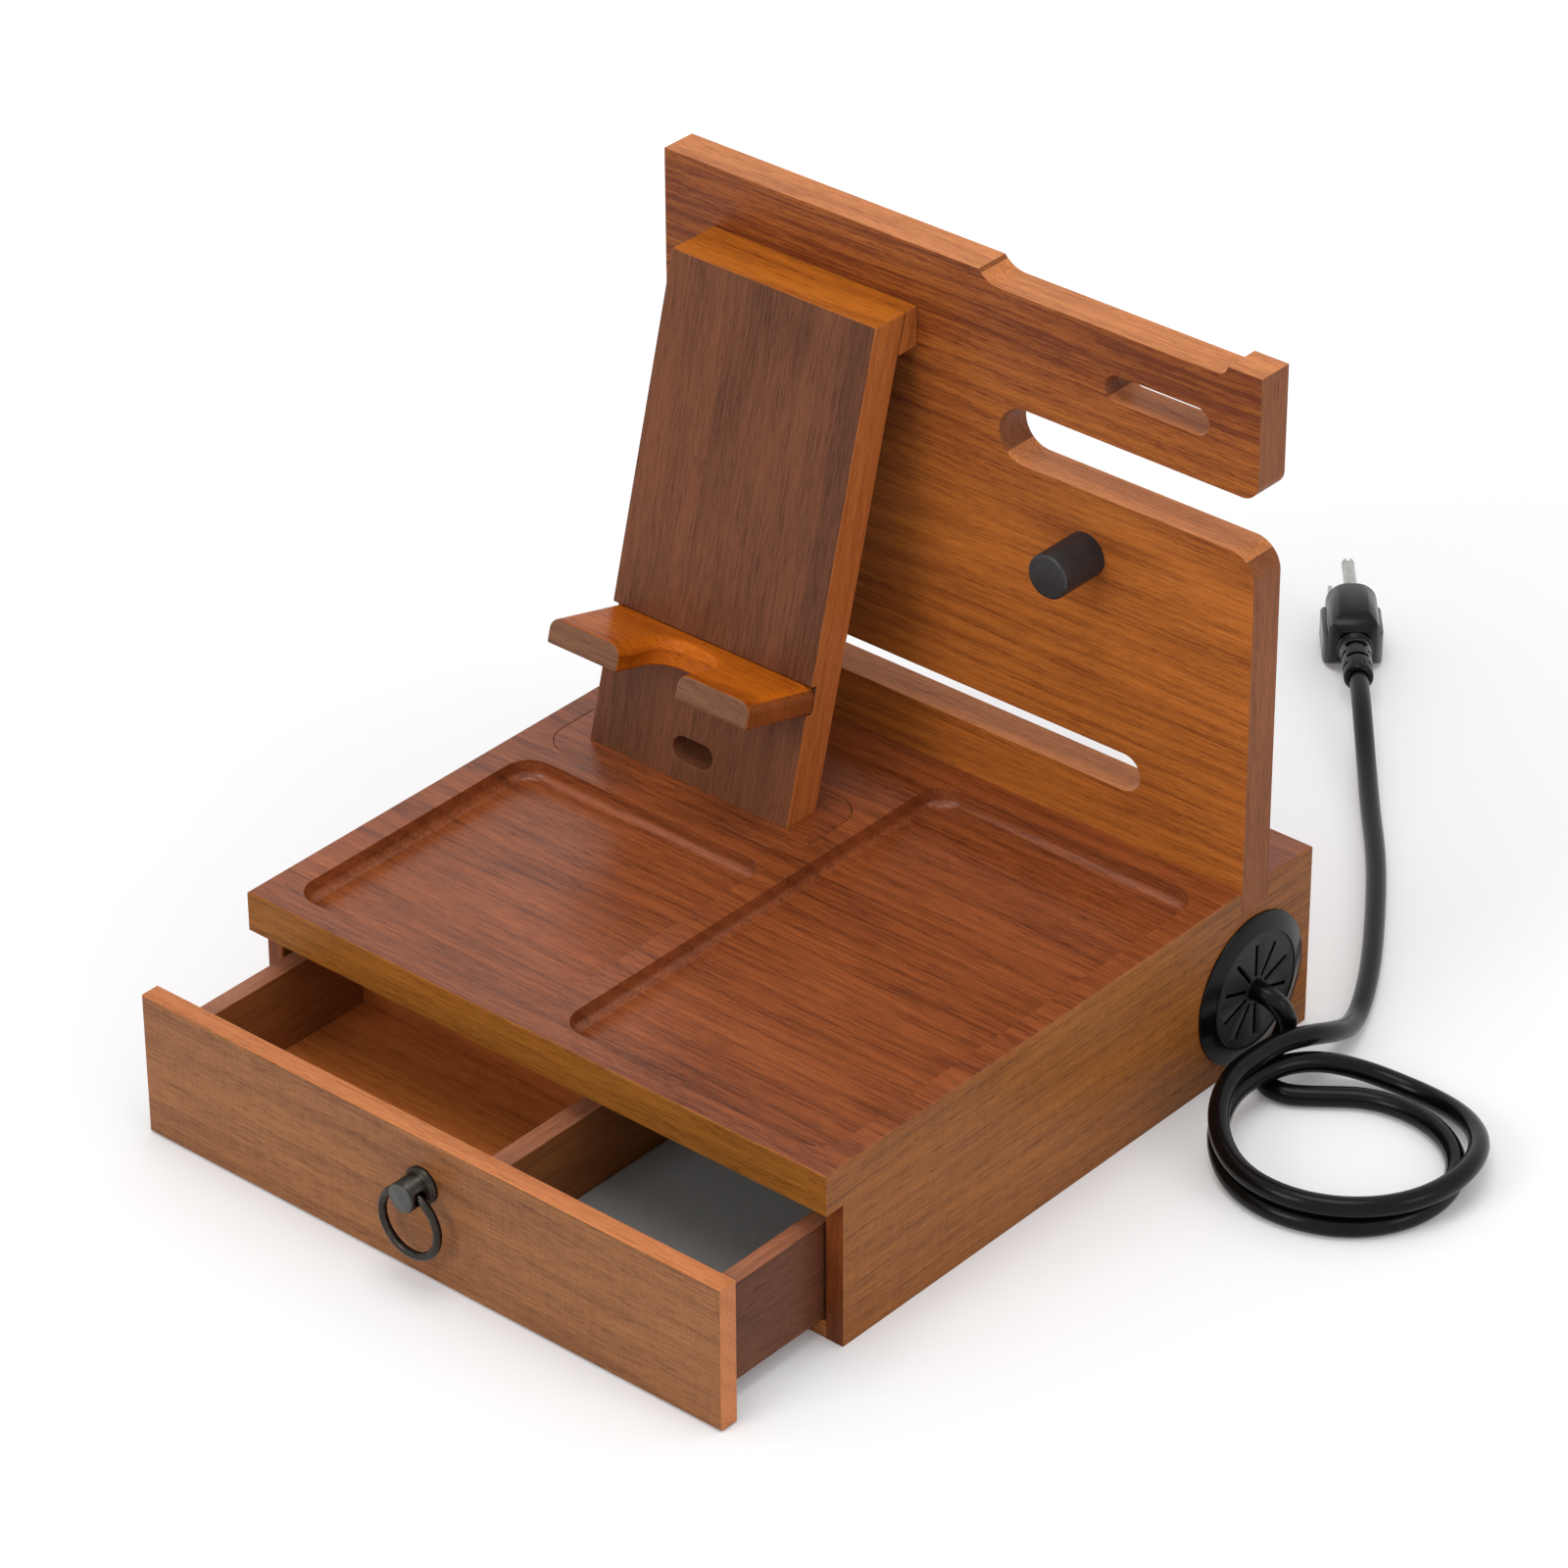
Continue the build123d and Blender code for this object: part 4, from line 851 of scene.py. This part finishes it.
@dataclass
class Woodwork:
    """The case, the drawer's box, the back board and the phone stand."""

    under_top: float = 54.6 * MM
    deck: float = 69.6 * MM
    rear: float = 124.5 * MM
    mitre: float = 117.5 * MM
    head_seam: float = 80.35 * MM

    def boards(self) -> list[Board]:
        """The boards with their finishes.

        Returns:
            The boards.
        """
        left, right, front, rear, top = Facing.LEFT, Facing.RIGHT, Facing.FRONT, Facing.REAR, Facing.TOP
        joints = {"keep_z": (self.under_top,), "keep_y": (self.rear, self.mitre)}
        head = {"keep_y": (self.head_seam,)}
        skin = {front: "wood_front_edge", left: "wood_side", right: "wood_side", rear: "wood_rear"}
        side = {"others": {front: "wood_side_end"}, **joints}
        back = {left: "wood_back_end", right: "wood_back_end", top: "wood_back_rim"}
        leg = {left: "wood_stand_side", right: "wood_stand_side", top: "wood_head"}
        lip = {front: "wood_shelf_edge", left: "wood_shelf_edge", right: "wood_shelf_end"}
        face = {top: "wood_front_rim", right: "wood_front_rim"}
        rim = {top: "wood_wall_rim"}
        wall = {"body": DRAWER, "ease": 0.4 * MM}
        return [
            Board("top_board", "wood_top", keep_z=(self.under_top,), others=skin, outer_only=True),
            Board("left_side", "wood_side", **side),
            Board("right_side", "wood_side", **side),
            Board("rear_panel", "wood_rear", **joints),
            Board("bottom_board", "wood_rear", ease=0.3 * MM),
            Board("partition", "wood_rear", ease=0.3 * MM),
            Board("back_board", "wood_back", ease=1.1 * MM, others=back),
            Board("stand_plate", "wood_plate", ease=0.2 * MM),
            Board(
                "phone_stand", "wood_stand", ease=0.6 * MM, keep_z=(self.deck,),
                others=leg, outer_only=True, **head,
            ),
            Board(
                "stand_bracket", "wood_head", keep_slanted=True,
                others={**leg, front: "wood_stand"}, **head,
            ),
            Board("phone_shelf", "wood_shelf", ease=0.8 * MM, others=lip, outer_only=True),
            Board("drawer_front", "wood_front", DRAWER, others=face),
            Board("drawer_left_side", "wood_wall", others={**rim, right: "wood_inside"}, **wall),
            Board("drawer_right_side", "wood_wall", others={**rim, left: "wood_inside"}, **wall),
            Board("drawer_back", "wood_drawer", **wall),
            Board("drawer_floor", "wood_floor", DRAWER, ease=0.2 * MM),
            Board("drawer_divider", "wood_inside", others=rim, **wall),
            Board("drawer_cross_wall", "wood_drawer", others=rim, **wall),
        ]

    def make(self, finishes: Materials) -> None:
        """Builds every board.

        Args:
            finishes: The materials by name.
        """
        for board in self.boards():
            board.make(finishes)


@dataclass
class DrawerPull:
    """The turned knob, its ring and the screw inside the drawer."""

    face_y: float = -174.5 * MM
    level: float = 36.4 * MM
    hole_reach: float = 6.3 * MM
    ring_radius: float = 12.0 * MM
    wire: float = 1.5 * MM
    wire_sides: int = 24
    ring_drop: float = -11.37 * MM
    lip: float = 0.15 * MM
    face_depth: float = 0.1 * MM

    def ring(self) -> Object:
        """The wire ring, round and closed.

        Returns:
            The ring.
        """
        bm = bmesh.new()
        bmesh.ops.create_circle(bm, segments=self.wire_sides, radius=self.wire)
        bmesh.ops.rotate(bm, verts=bm.verts, matrix=Matrix.Rotation(math.pi / 2, 3, "X"))
        bmesh.ops.translate(bm, verts=bm.verts, vec=(self.ring_radius, 0, 0))
        centre = (0, self.face_y - self.hole_reach, self.level + self.ring_drop)
        spin_round(bm, axis_place(centre, (0, -1, 0), (1, 0, 0)))
        return piece_from(bm, "ring_wire", angle=80)

    def make(self, finishes: Materials) -> None:
        """Builds the pull, whose knob's flat end is painted paler than its barrel, as a painted reflection.

        Args:
            finishes: The materials by name.
        """
        seat(self.ring(), PULL_RING, ["pull_ring"], finishes["dark_bronze"])
        knob = eased_copy("pull_boss", "knob", self.lip, turn=50, angle=40)
        seat(knob, DRAWER, ["pull_boss"], finishes["dark_bronze"])
        knob.data.materials.append(finishes["bronze_painted_reflection"])
        # The flat end takes the paler bronze as a painted reflection.
        front = min(v.co.y for v in knob.data.vertices)
        for face in knob.data.polygons:
            face.material_index = int(face.center.y < front + self.face_depth)
        dress(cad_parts["pull_screw"], finishes["bright_steel"])


@dataclass
class RingPeg:
    """The smooth black peg on the back board."""

    x: float = 56.6 * MM
    face_y: float = 86.0 * MM
    level: float = 172.6 * MM
    radius: float = 8.0 * MM
    length: float = 20.0 * MM
    nose: float = 0.9 * MM
    nose_steps: int = 6
    spigot_radius: float = 4.0 * MM
    spigot_length: float = 9.0 * MM

    def make(self, finishes: Materials) -> None:
        """Builds the peg.

        Args:
            finishes: The materials by name.
        """
        turns = [math.radians(90 * step / self.nose_steps) for step in range(self.nose_steps, -1, -1)]
        tip = [
            (self.radius - self.nose * (1 - math.sin(a)), self.length - self.nose * (1 - math.cos(a)))
            for a in turns
        ]
        profile = [
            (0, -self.spigot_length),
            (self.spigot_radius, -self.spigot_length),
            (self.spigot_radius, 0),
            (self.radius, 0),
            *tip,
            (0, self.length),
        ]
        bm = turned(profile, axis_place((self.x, self.face_y, self.level), (0, -1, 0), (1, 0, 0)))
        seat(piece_from(bm, "peg"), CASE, ["ring_peg"], finishes["black_lacquer"])


@dataclass
class Grommet:
    """The flange in the right side and its slit membrane."""

    face_x: float = 125.0 * MM
    y: float = 92.25 * MM
    level: float = 29.6 * MM
    petal_radius: float = 18.6 * MM
    lip: float = 0.28 * MM
    facing_out: float = 0.9

    def flange(self) -> Object:
        """The bevelled flange, its sleeve and its ledge, turned in one.

        Returns:
            The flange.
        """
        profile = [
            (27.8, 0),
            (27.8, 0.5),
            (27.7, 0.72),
            (27.4, 0.95),
            (22.0, 2.5),
            (21.7, 2.6),
            (21.25, 2.6),
            (21.1, 2.5),
            (21.1, 0.8),
            (19.5, 0.8),
            (19.5, -0.2),
            (21.9, -0.2),
            (21.9, -6.6),
            (23.9, -6.6),
            (23.9, 0),
        ]
        place = axis_place((self.face_x, self.y, self.level), (1, 0, 0), (0, 1, 0))
        bm = turned([(radius * MM, height * MM) for radius, height in profile], place, steps=128)
        return piece_from(bm, "flange", angle=28)

    def membrane(self) -> Object:
        """The rubber disc, slit into petals whose lips are eased.

        Returns:
            The disc.
        """
        bm = merged_copy("grommet_membrane")
        lips = [
            edge
            for edge in sharp_edges(bm, angle=60)
            if max(face.normal.x for face in edge.link_faces) > self.facing_out
            and all(math.hypot(v.co.y - self.y, v.co.z - self.level) < self.petal_radius for v in edge.verts)
        ]
        bevel(bm, lips, self.lip, segments=1)
        return piece_from(bm, "petals", angle=40)

    def make(self, finishes: Materials) -> None:
        """Builds the grommet, whose slits are in shade.

        Args:
            finishes: The materials by name.
        """
        seat(self.flange(), CASE, ["grommet_ring"], finishes["grommet_plastic"])
        petals = self.membrane()
        seat(petals, CASE, ["grommet_membrane"], finishes["membrane_rubber"])
        petals.data.materials.append(finishes["slit_shade"])
        for face in petals.data.polygons:
            face.material_index = int(abs(face.normal.x) < self.facing_out)


@dataclass
class PowerUnit:
    """The faceplate in the rear, with its outlets, ports and screws."""

    face_y: float = 126.7 * MM
    level: float = 27.4 * MM
    screw_x: float = 59.5 * MM
    screw_radius: float = 3.2 * MM
    shank_radius: float = 1.5 * MM
    shank_length: float = 8.0 * MM
    head_depth: float = 1.4 * MM
    dome_shares: tuple[float, ...] = (1.0, 1.0, 0.86, 0.5, 0.0)
    dome_heights: tuple[float, ...] = (-0.2 * MM, 0.0, 0.4 * MM, 0.62 * MM, 0.7 * MM)
    cross: Pair = (1.35, 0.28)
    cross_height: float = 1.6 * MM
    cross_level: float = 0.6 * MM
    cross_reach: float = 0.7
    cross_depths: Pair = (-0.3 * MM, 0.4 * MM)
    port_split: float = -40.0 * MM
    outlet_x: Pair = (35.75 * MM, 3.12 * MM)
    slot_shift: float = 7.0 * MM
    slot_rise: float = 6.35 * MM
    leaf_fronts: Pair = (129.3 * MM, 123.0 * MM)
    leaf: Triple = (7.0 * MM, 9.0 * MM, 0.5 * MM)
    leaf_drop: float = 0.82 * MM
    leaf_ease: float = 0.12 * MM
    plate_ease: float = 0.18 * MM
    moulding_ease: float = 0.25 * MM
    tongue_ease: float = 0.1 * MM

    def screw(self) -> Mesh:
        """One domed screw at the origin, with its cross recess cut in.

        Returns:
            The mesh.
        """
        dome = [(self.screw_radius * share, up) for share, up in zip(self.dome_shares, self.dome_heights)]
        shank = [
            (0, -self.shank_length),
            (self.shank_radius, -self.shank_length),
            (self.shank_radius, -self.head_depth),
        ]
        blank = piece_from(turned([*shank, *dome], Matrix.Identity(4), steps=48), "screw_blank")
        cutter = bmesh.new()
        length, width = (self.screw_radius * share for share in self.cross)
        for turn in (0, 1):
            made = bmesh.ops.create_cube(cutter, size=1.0)["verts"]
            bmesh.ops.scale(cutter, vec=(length, width, self.cross_height), verts=made)
            bmesh.ops.rotate(cutter, matrix=Matrix.Rotation(turn * math.pi / 2, 3, "Z"), verts=made)
            bmesh.ops.translate(cutter, vec=(0, 0, self.cross_level), verts=made)
        tool = piece_from(cutter, "cross_tool")
        cut = blank.modifiers.new("cross", "BOOLEAN")
        cut.object = tool
        cut.operation = "DIFFERENCE"
        cut.solver = "EXACT"
        cut.use_self = True
        graph = bpy.context.evaluated_depsgraph_get()
        mesh = bpy.data.meshes.new_from_object(blank.evaluated_get(graph))
        for spare in (blank, tool):
            bpy.data.objects.remove(spare)
        return mesh

    def screws(self) -> Object:
        """The two screws, as one piece.

        Returns:
            The piece.
        """
        whole = bmesh.new()
        screw = self.screw()
        for side in (-1, 1):
            place = axis_place((side * self.screw_x, self.face_y, self.level), (0, 1, 0), (-1, 0, 0))
            start = len(whole.verts)
            whole.from_mesh(screw)
            whole.verts.ensure_lookup_table()
            bmesh.ops.transform(whole, matrix=place, verts=whole.verts[start:])
        return piece_from(whole, "cross_screws", angle=30)

    def shade_crosses(self, screws: Object, shade: Material) -> None:
        """Darkens the walls and floors of the cross recesses.

        Args:
            screws: The screws.
            shade: The recesses' finish.
        """
        screws.data.materials.append(shade)
        floor, rim = self.cross_depths
        for face in screws.data.polygons:
            x, y, z = face.center
            across = math.hypot(abs(x) - self.screw_x, z - self.level)
            in_cross = across < self.screw_radius * self.cross_reach
            face.material_index = int(in_cross and floor < y - self.face_y < rim)

    def contacts(self) -> Object:
        """The spring leaves that show deep in the outlets' blade slots.

        Returns:
            The leaves, as one piece.
        """
        bm = bmesh.new()
        for x, front in zip(self.outlet_x, self.leaf_fronts):
            for rise in (-self.slot_rise, self.slot_rise):
                made = bmesh.ops.create_cube(bm, size=1.0)["verts"]
                bmesh.ops.scale(bm, vec=self.leaf, verts=made)
                level = self.level + rise - self.leaf_drop
                place = (x + self.slot_shift, front - self.leaf[1] / 2, level)
                bmesh.ops.translate(bm, vec=place, verts=made)
        bevel(bm, bm.edges[:], self.leaf_ease, segments=1)
        return piece_from(bm, "outlet_leaves")

    def make(self, finishes: Materials) -> None:
        """Builds the power unit's fine pieces and dresses its solids.

        Args:
            finishes: The materials by name.
        """
        plate = eased_copy("faceplate", "plate", self.plate_ease)
        seat(plate, CASE, ["faceplate"], finishes["plate_plastic"])
        for name in ("outlet_left", "outlet_right", "usb_c_frame", "usb_a_frame"):
            moulding = eased_copy(name, f"{name}_moulding", self.moulding_ease)
            seat(moulding, CASE, [name], finishes["plate_plastic"])
        screws = self.screws()
        seat(screws, CASE, ["faceplate_screws"], finishes["white_zinc"])
        self.shade_crosses(screws, finishes["slit_shade"])
        tongues = eased_copy("usb_tongues", "port_tongues", self.tongue_ease, segments=1)
        seat(tongues, CASE, ["usb_tongues"], finishes["plate_plastic"])
        tongues.data.materials.append(finishes["white_plastic"])
        for face in tongues.data.polygons:
            face.material_index = int(face.center.x < self.port_split)
        seat(self.contacts(), CASE, [], finishes["bright_steel"])
        dress(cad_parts["usb_a_shell"], finishes["nickel"])
        for name in ("usb_c_shell", "power_housing"):
            dress(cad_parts[name], finishes["black_plastic"])


@dataclass
class FeltMat:
    """The mat that lies in the drawer's right half."""

    low: Pair = (21.9 * MM, -166.5 * MM)
    high: Pair = (109.3 * MM, -12.5 * MM)
    floor: float = 13.9 * MM
    thickness: float = 1.0 * MM
    cells: tuple[int, int] = (30, 52)
    ease: float = 0.3 * MM
    ripple: float = 0.05 * MM
    humps: Pair = (310, 270)
    slants: Pair = (97, 133)

    def _dip(self, x: float, y: float) -> float:
        """How far the nap lies under the mat's full thickness.

        Args:
            x: The place along X, in metres.
            y: The place along Y, in metres.

        Returns:
            The dip, in metres.
        """
        nap = math.sin(x * self.humps[0]) * math.sin(y * self.humps[1])
        nap += math.sin(x * self.slants[0] + y * self.slants[1])
        return self.ripple * (nap + 2)

    def make(self, finishes: Materials) -> None:
        """Lays the mat.

        Args:
            finishes: The materials by name.
        """
        width, length = self.high[0] - self.low[0], self.high[1] - self.low[1]
        bm = bmesh.new()
        bmesh.ops.create_grid(bm, x_segments=self.cells[0], y_segments=self.cells[1], size=0.5)
        bmesh.ops.scale(bm, vec=(width, length, 1), verts=bm.verts)
        centre = ((self.low[0] + self.high[0]) / 2, (self.low[1] + self.high[1]) / 2, self.floor)
        bmesh.ops.translate(bm, vec=centre, verts=bm.verts)
        made = bmesh.ops.extrude_face_region(bm, geom=bm.faces[:])
        upper = [v for v in made["geom"] if isinstance(v, BMVert)]
        bmesh.ops.translate(bm, vec=(0, 0, self.thickness), verts=upper)
        for v in upper:
            v.co.z -= self._dip(v.co.x, v.co.y)
        bmesh.ops.recalc_face_normals(bm, faces=bm.faces)
        bevel(bm, sharp_edges(bm, angle=60), self.ease)
        mat = piece_from(bm, "mat")
        seat(mat, DRAWER, ["felt_mat"], finishes["dark_felt"])


def soft_step(value: float, ends: Pair) -> float:
    """Rises smoothly from 0 to 1 between two values."""
    share = min(max((value - ends[0]) / (ends[1] - ends[0]), 0.0), 1.0)
    return share * share * (3 - 2 * share)


@dataclass
class MainsPlug:
    """The moulded plug that lies at the end of the lead, placed in millimetres."""

    entry: Triple = (17.6, 299.5, 12.1)
    turn: float = 50.0

    def point(self, along: float) -> Vector:
        """A point on the plug's axis, this far past its entry, in millimetres."""
        angle = math.radians(self.turn)
        return Vector(self.entry) + Vector((-math.cos(angle), math.sin(angle), 0.0)) * along

    def make(self, finishes: Materials) -> list[Object]:
        """Builds the plug.

        Args:
            finishes: The materials by name.

        Returns:
            Its pieces.
        """
        pieces = []
        for node, name, ease, turn, slot, finish in (
            ("plug_relief", "lead_relief", 0.2 * MM, 45, "rubber", "plug_vinyl"),
            ("plug_body", "plug_moulding", 0.5 * MM, 35, "rubber", "plug_vinyl"),
            ("plug_blades", "blades", 0.15 * MM, 40, "nickel", "nickel"),
            ("plug_ground_pin", "ground_pin", 0.12 * MM, 45, "nickel", "nickel"),
        ):
            piece = eased_copy(node, name, ease, turn, angle=40)
            seat(piece, CASE, [node], finishes[finish])
            pieces.append(piece)
        return pieces


@dataclass
class MainsLead:
    """The free lead, in millimetres: down from the grommet, the coil, and the tail to the plug."""

    plug: MainsPlug
    diameter: float = 7.2
    rest: float = 3.7
    exit_point: Triple = (127.3, 92.25, 29.6)
    coil_centre: Pair = (184.8, 67.7)
    start_angle: float = 128.5
    sweep: float = 671.0
    coil_steps: int = 64
    inner_radius: float = 31.0
    outer_radius: float = 42.6
    growth: Pair = (30, 190)
    layer_rise: float = 7.7
    onto_lead: Pair = (233, 308)
    off_lead: Pair = (334, 396)
    onto_coil: Pair = (398, 486)
    onto_second: Pair = (590, 668)
    run_in: float = 6.6
    run_out: float = 7.5
    length: float = 827.2

    def coil_point(self, turned_by: float) -> Vector:
        """A point of the coil after this many degrees, clockwise from its start.

        Args:
            turned_by: The degrees turned.

        Returns:
            The point, in millimetres.
        """
        angle = math.radians(self.start_angle - turned_by)
        grown = soft_step(turned_by, self.growth)
        radius = self.inner_radius + (self.outer_radius - self.inner_radius) * grown
        over_lead = soft_step(turned_by, self.onto_lead) - soft_step(turned_by, self.off_lead)
        over_coil = soft_step(turned_by, self.onto_coil) + soft_step(turned_by, self.onto_second)
        level = self.rest + self.layer_rise * (over_lead + over_coil)
        x, y = self.coil_centre
        return Vector((x + radius * math.cos(angle), y + radius * math.sin(angle), level))

    def coil_heading(self, turned_by: float, reach: float = 0.01) -> Vector:
        """The direction of the coil's line after this many degrees."""
        return (self.coil_point(turned_by + reach) - self.coil_point(turned_by - reach)).normalized()

    def route(self) -> list[Vector]:
        """Lists the points that the lead's line follows.

        Returns:
            The points, in millimetres.
        """
        first, last = self.coil_point(0), self.coil_point(self.sweep)
        lead = [
            self.exit_point,
            (131.6, 92.25, 29.6),
            (135.6, 93.1, 27.6),
            (138.1, 94.4, 24.1),
            (138.6, 95.8, 19.3),
            (136.5, 94.7, 11.1),
            (135.4, 86.9, 6.1),
            (140.5, 80.7, self.rest),
            (148.7, 80.1, self.rest),
            first - self.coil_heading(0) * (self.diameter + self.run_in),
        ]
        coil = [self.coil_point(self.sweep * n / self.coil_steps) for n in range(self.coil_steps + 1)]
        tail = [
            last + self.coil_heading(self.sweep) * (self.diameter + self.run_out),
            (146.8, 96.5, 17.8),
            (147.3, 108.4, 13.0),
            (145.2, 119.7, 7.6),
            (141.2, 131.0, self.rest),
            (135.2, 144.0, self.rest),
            (124.6, 162.5, self.rest),
            (108.6, 186.5, self.rest),
            (87.5, 216.0, self.rest),
            (65.5, 242.0, self.rest),
            (48.6, 262.6, 5.6),
            (35.4, 278.3, 9.6),
            self.plug.point(-12.5),
            self.plug.point(0.0),
        ]
        return [Vector(point) for point in [*lead, *coil, *tail]]

    def make(self, finishes: Materials, plug_pieces: Sequence[Object]) -> None:
        """Lays the lead.

        Args:
            finishes: The materials by name.
            plug_pieces: The pieces on the lead's far end; not used.
        """
        curve = bpy.data.curves.new("mains_lead", "CURVE")
        curve.dimensions = "3D"
        curve.resolution_u = 8
        curve.bevel_depth = 1.0
        curve.bevel_resolution = 6
        curve.use_fill_caps = True
        points = self.route()
        spline = curve.splines.new("NURBS")
        spline.points.add(len(points) - 1)
        for point, place in zip(spline.points, points):
            point.co = (*(place * MM), 1.0)
            # The thickness is on the points: a curve's box reaches this far past each of them.
            point.radius = self.diameter / 2 * MM
        spline.order_u = 3
        spline.use_endpoint_u = True
        lead = bpy.data.objects.new("mains_lead", curve)
        bpy.context.scene.collection.objects.link(lead)
        seat(lead, CASE, ["cord_lead", "cord_coil", "cord_tail"], finishes["cord_jacket"])


@dataclass
class Studio:
    """Camera, lamps, world and floor."""

    place: Triple = (1.19224, -1.37625, 1.23787)
    azimuth: float = 40.882
    elevation: float = 31.946
    roll: float = -0.2944
    lens: float = 150.39
    aim: Triple = (0, 0, 0.08)
    floor_half: float = 9.0
    floor_colour: Triple = (0.868, 0.872, 0.88)
    ambient: float = 0.76
    glow_reach: float = 2.5
    # The glow is lowest near the object, which paints a faint shade round it, and rises far off so that the
    # distant floor stays white.
    glow: tuple[Pair, ...] = ((0.1, 0.08), (0.18, 0.14), (1.0, 0.9))

    def camera(self) -> None:
        """The camera at the photograph's viewpoint."""
        azimuth, elevation, roll = (math.radians(a) for a in (self.azimuth, self.elevation, self.roll))
        flat = Vector((math.sin(azimuth), -math.cos(azimuth), 0)) * math.cos(elevation)
        back = flat + Vector((0, 0, math.sin(elevation)))
        level = Vector((0, 0, 1)).cross(back).normalized()
        upright = back.cross(level)
        right = level * math.cos(roll) + upright * math.sin(roll)
        up = upright * math.cos(roll) - level * math.sin(roll)
        data = bpy.data.cameras.new("photo_view")
        data.lens = self.lens
        data.sensor_width = 36.0
        data.sensor_fit = "HORIZONTAL"
        data.clip_start = 0.05
        data.clip_end = 40.0
        camera = bpy.data.objects.new("photo_view", data)
        turn = Matrix((right, up, back)).transposed().to_4x4()
        camera.matrix_world = Matrix.Translation(self.place) @ turn
        bpy.context.scene.collection.objects.link(camera)
        bpy.context.scene.camera = camera

    def lamp(self, name: str, place: Triple, size: float, energy: float) -> None:
        """A square soft lamp that points at the dock.

        Args:
            name: The lamp's name.
            place: Where it hangs, in metres.
            size: The length of its side.
            energy: Its power in watts.
        """
        data = bpy.data.lights.new(name, "AREA")
        data.shape = "SQUARE"
        data.size = size
        data.energy = energy
        lamp = bpy.data.objects.new(name, data)
        lamp.location = place
        lamp.rotation_mode = "QUATERNION"
        lamp.rotation_quaternion = (Vector(self.aim) - Vector(place)).to_track_quat("-Z", "Y")
        bpy.context.scene.collection.objects.link(lamp)

    def world(self) -> None:
        """Plain white surroundings, dimmer as a light than as a background."""
        world = bpy.data.worlds.new("white_room")
        bpy.context.scene.world = world
        world.use_nodes = True
        bench = NodeBench(world.node_tree)
        extra = bench.math("MULTIPLY", bench.seen(), 1.0 - self.ambient)
        white = {"Color": (1, 1, 1, 1), "Strength": bench.math("ADD", extra, self.ambient)}
        background = bench.add("ShaderNodeBackground", white).outputs[0]
        bench.add("ShaderNodeOutputWorld", {"Surface": background})

    def floor(self) -> None:
        """A wide pale floor that keeps the object's soft shadow; its glow is lowest near the object, which
        paints a faint shade round it.
        """
        bm = bmesh.new()
        bmesh.ops.create_grid(bm, x_segments=1, y_segments=1, size=self.floor_half)
        floor = piece_from(bm, "floor")
        surface = Surface("pale_floor")
        bench = surface.bench
        away = bench.add("ShaderNodeVectorMath", {0: surface.place}, operation="LENGTH").outputs["Value"]
        glow = bench.ramp(bench.math("DIVIDE", away, self.glow_reach), self.glow)
        looks = {
            "Base Color": (*self.floor_colour, 1.0),
            "Roughness": 0.9,
            "Specular IOR Level": 0.1,
            "Emission Color": (1, 1, 1, 1),
            "Emission Strength": bench.math("MULTIPLY", bench.seen(), glow),
        }
        dress(floor, surface.close(looks))

    def make(self) -> None:
        """Sets up the studio."""
        self.camera()
        self.world()
        self.floor()
        self.lamp("overhead", place=(0.1, -0.2, 1.8), size=0.9, energy=8.4)
        self.lamp("front", place=(-0.3, -1.9, 1.1), size=0.8, energy=11.0)
        self.lamp("right", place=(1.7, 0.2, 0.9), size=0.6, energy=3.0)
        bpy.context.scene.view_settings.view_transform = "Standard"


def main() -> None:
    """Builds the studio and the dock's pieces, in order."""
    logging.basicConfig(level=logging.INFO, format="%(name)s: %(message)s")
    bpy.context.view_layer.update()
    Studio().make()
    finishes = FinishShelf().make_all()
    plug = MainsPlug()
    MainsLead(plug).make(finishes, plug.make(finishes))
    for part in (Woodwork(), DrawerPull(), RingPeg(), Grommet(), PowerUnit(), FeltMat()):
        part.make(finishes)
    for name in ("inner_lead", "housing_relief"):
        dress(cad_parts[name], finishes["cord_jacket"])
    for name in ("back_board_screws", "stand_screws"):
        dress(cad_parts[name], finishes["bright_steel"])
    LOG.info("boxes written")


if __name__ == "__main__":
    main()
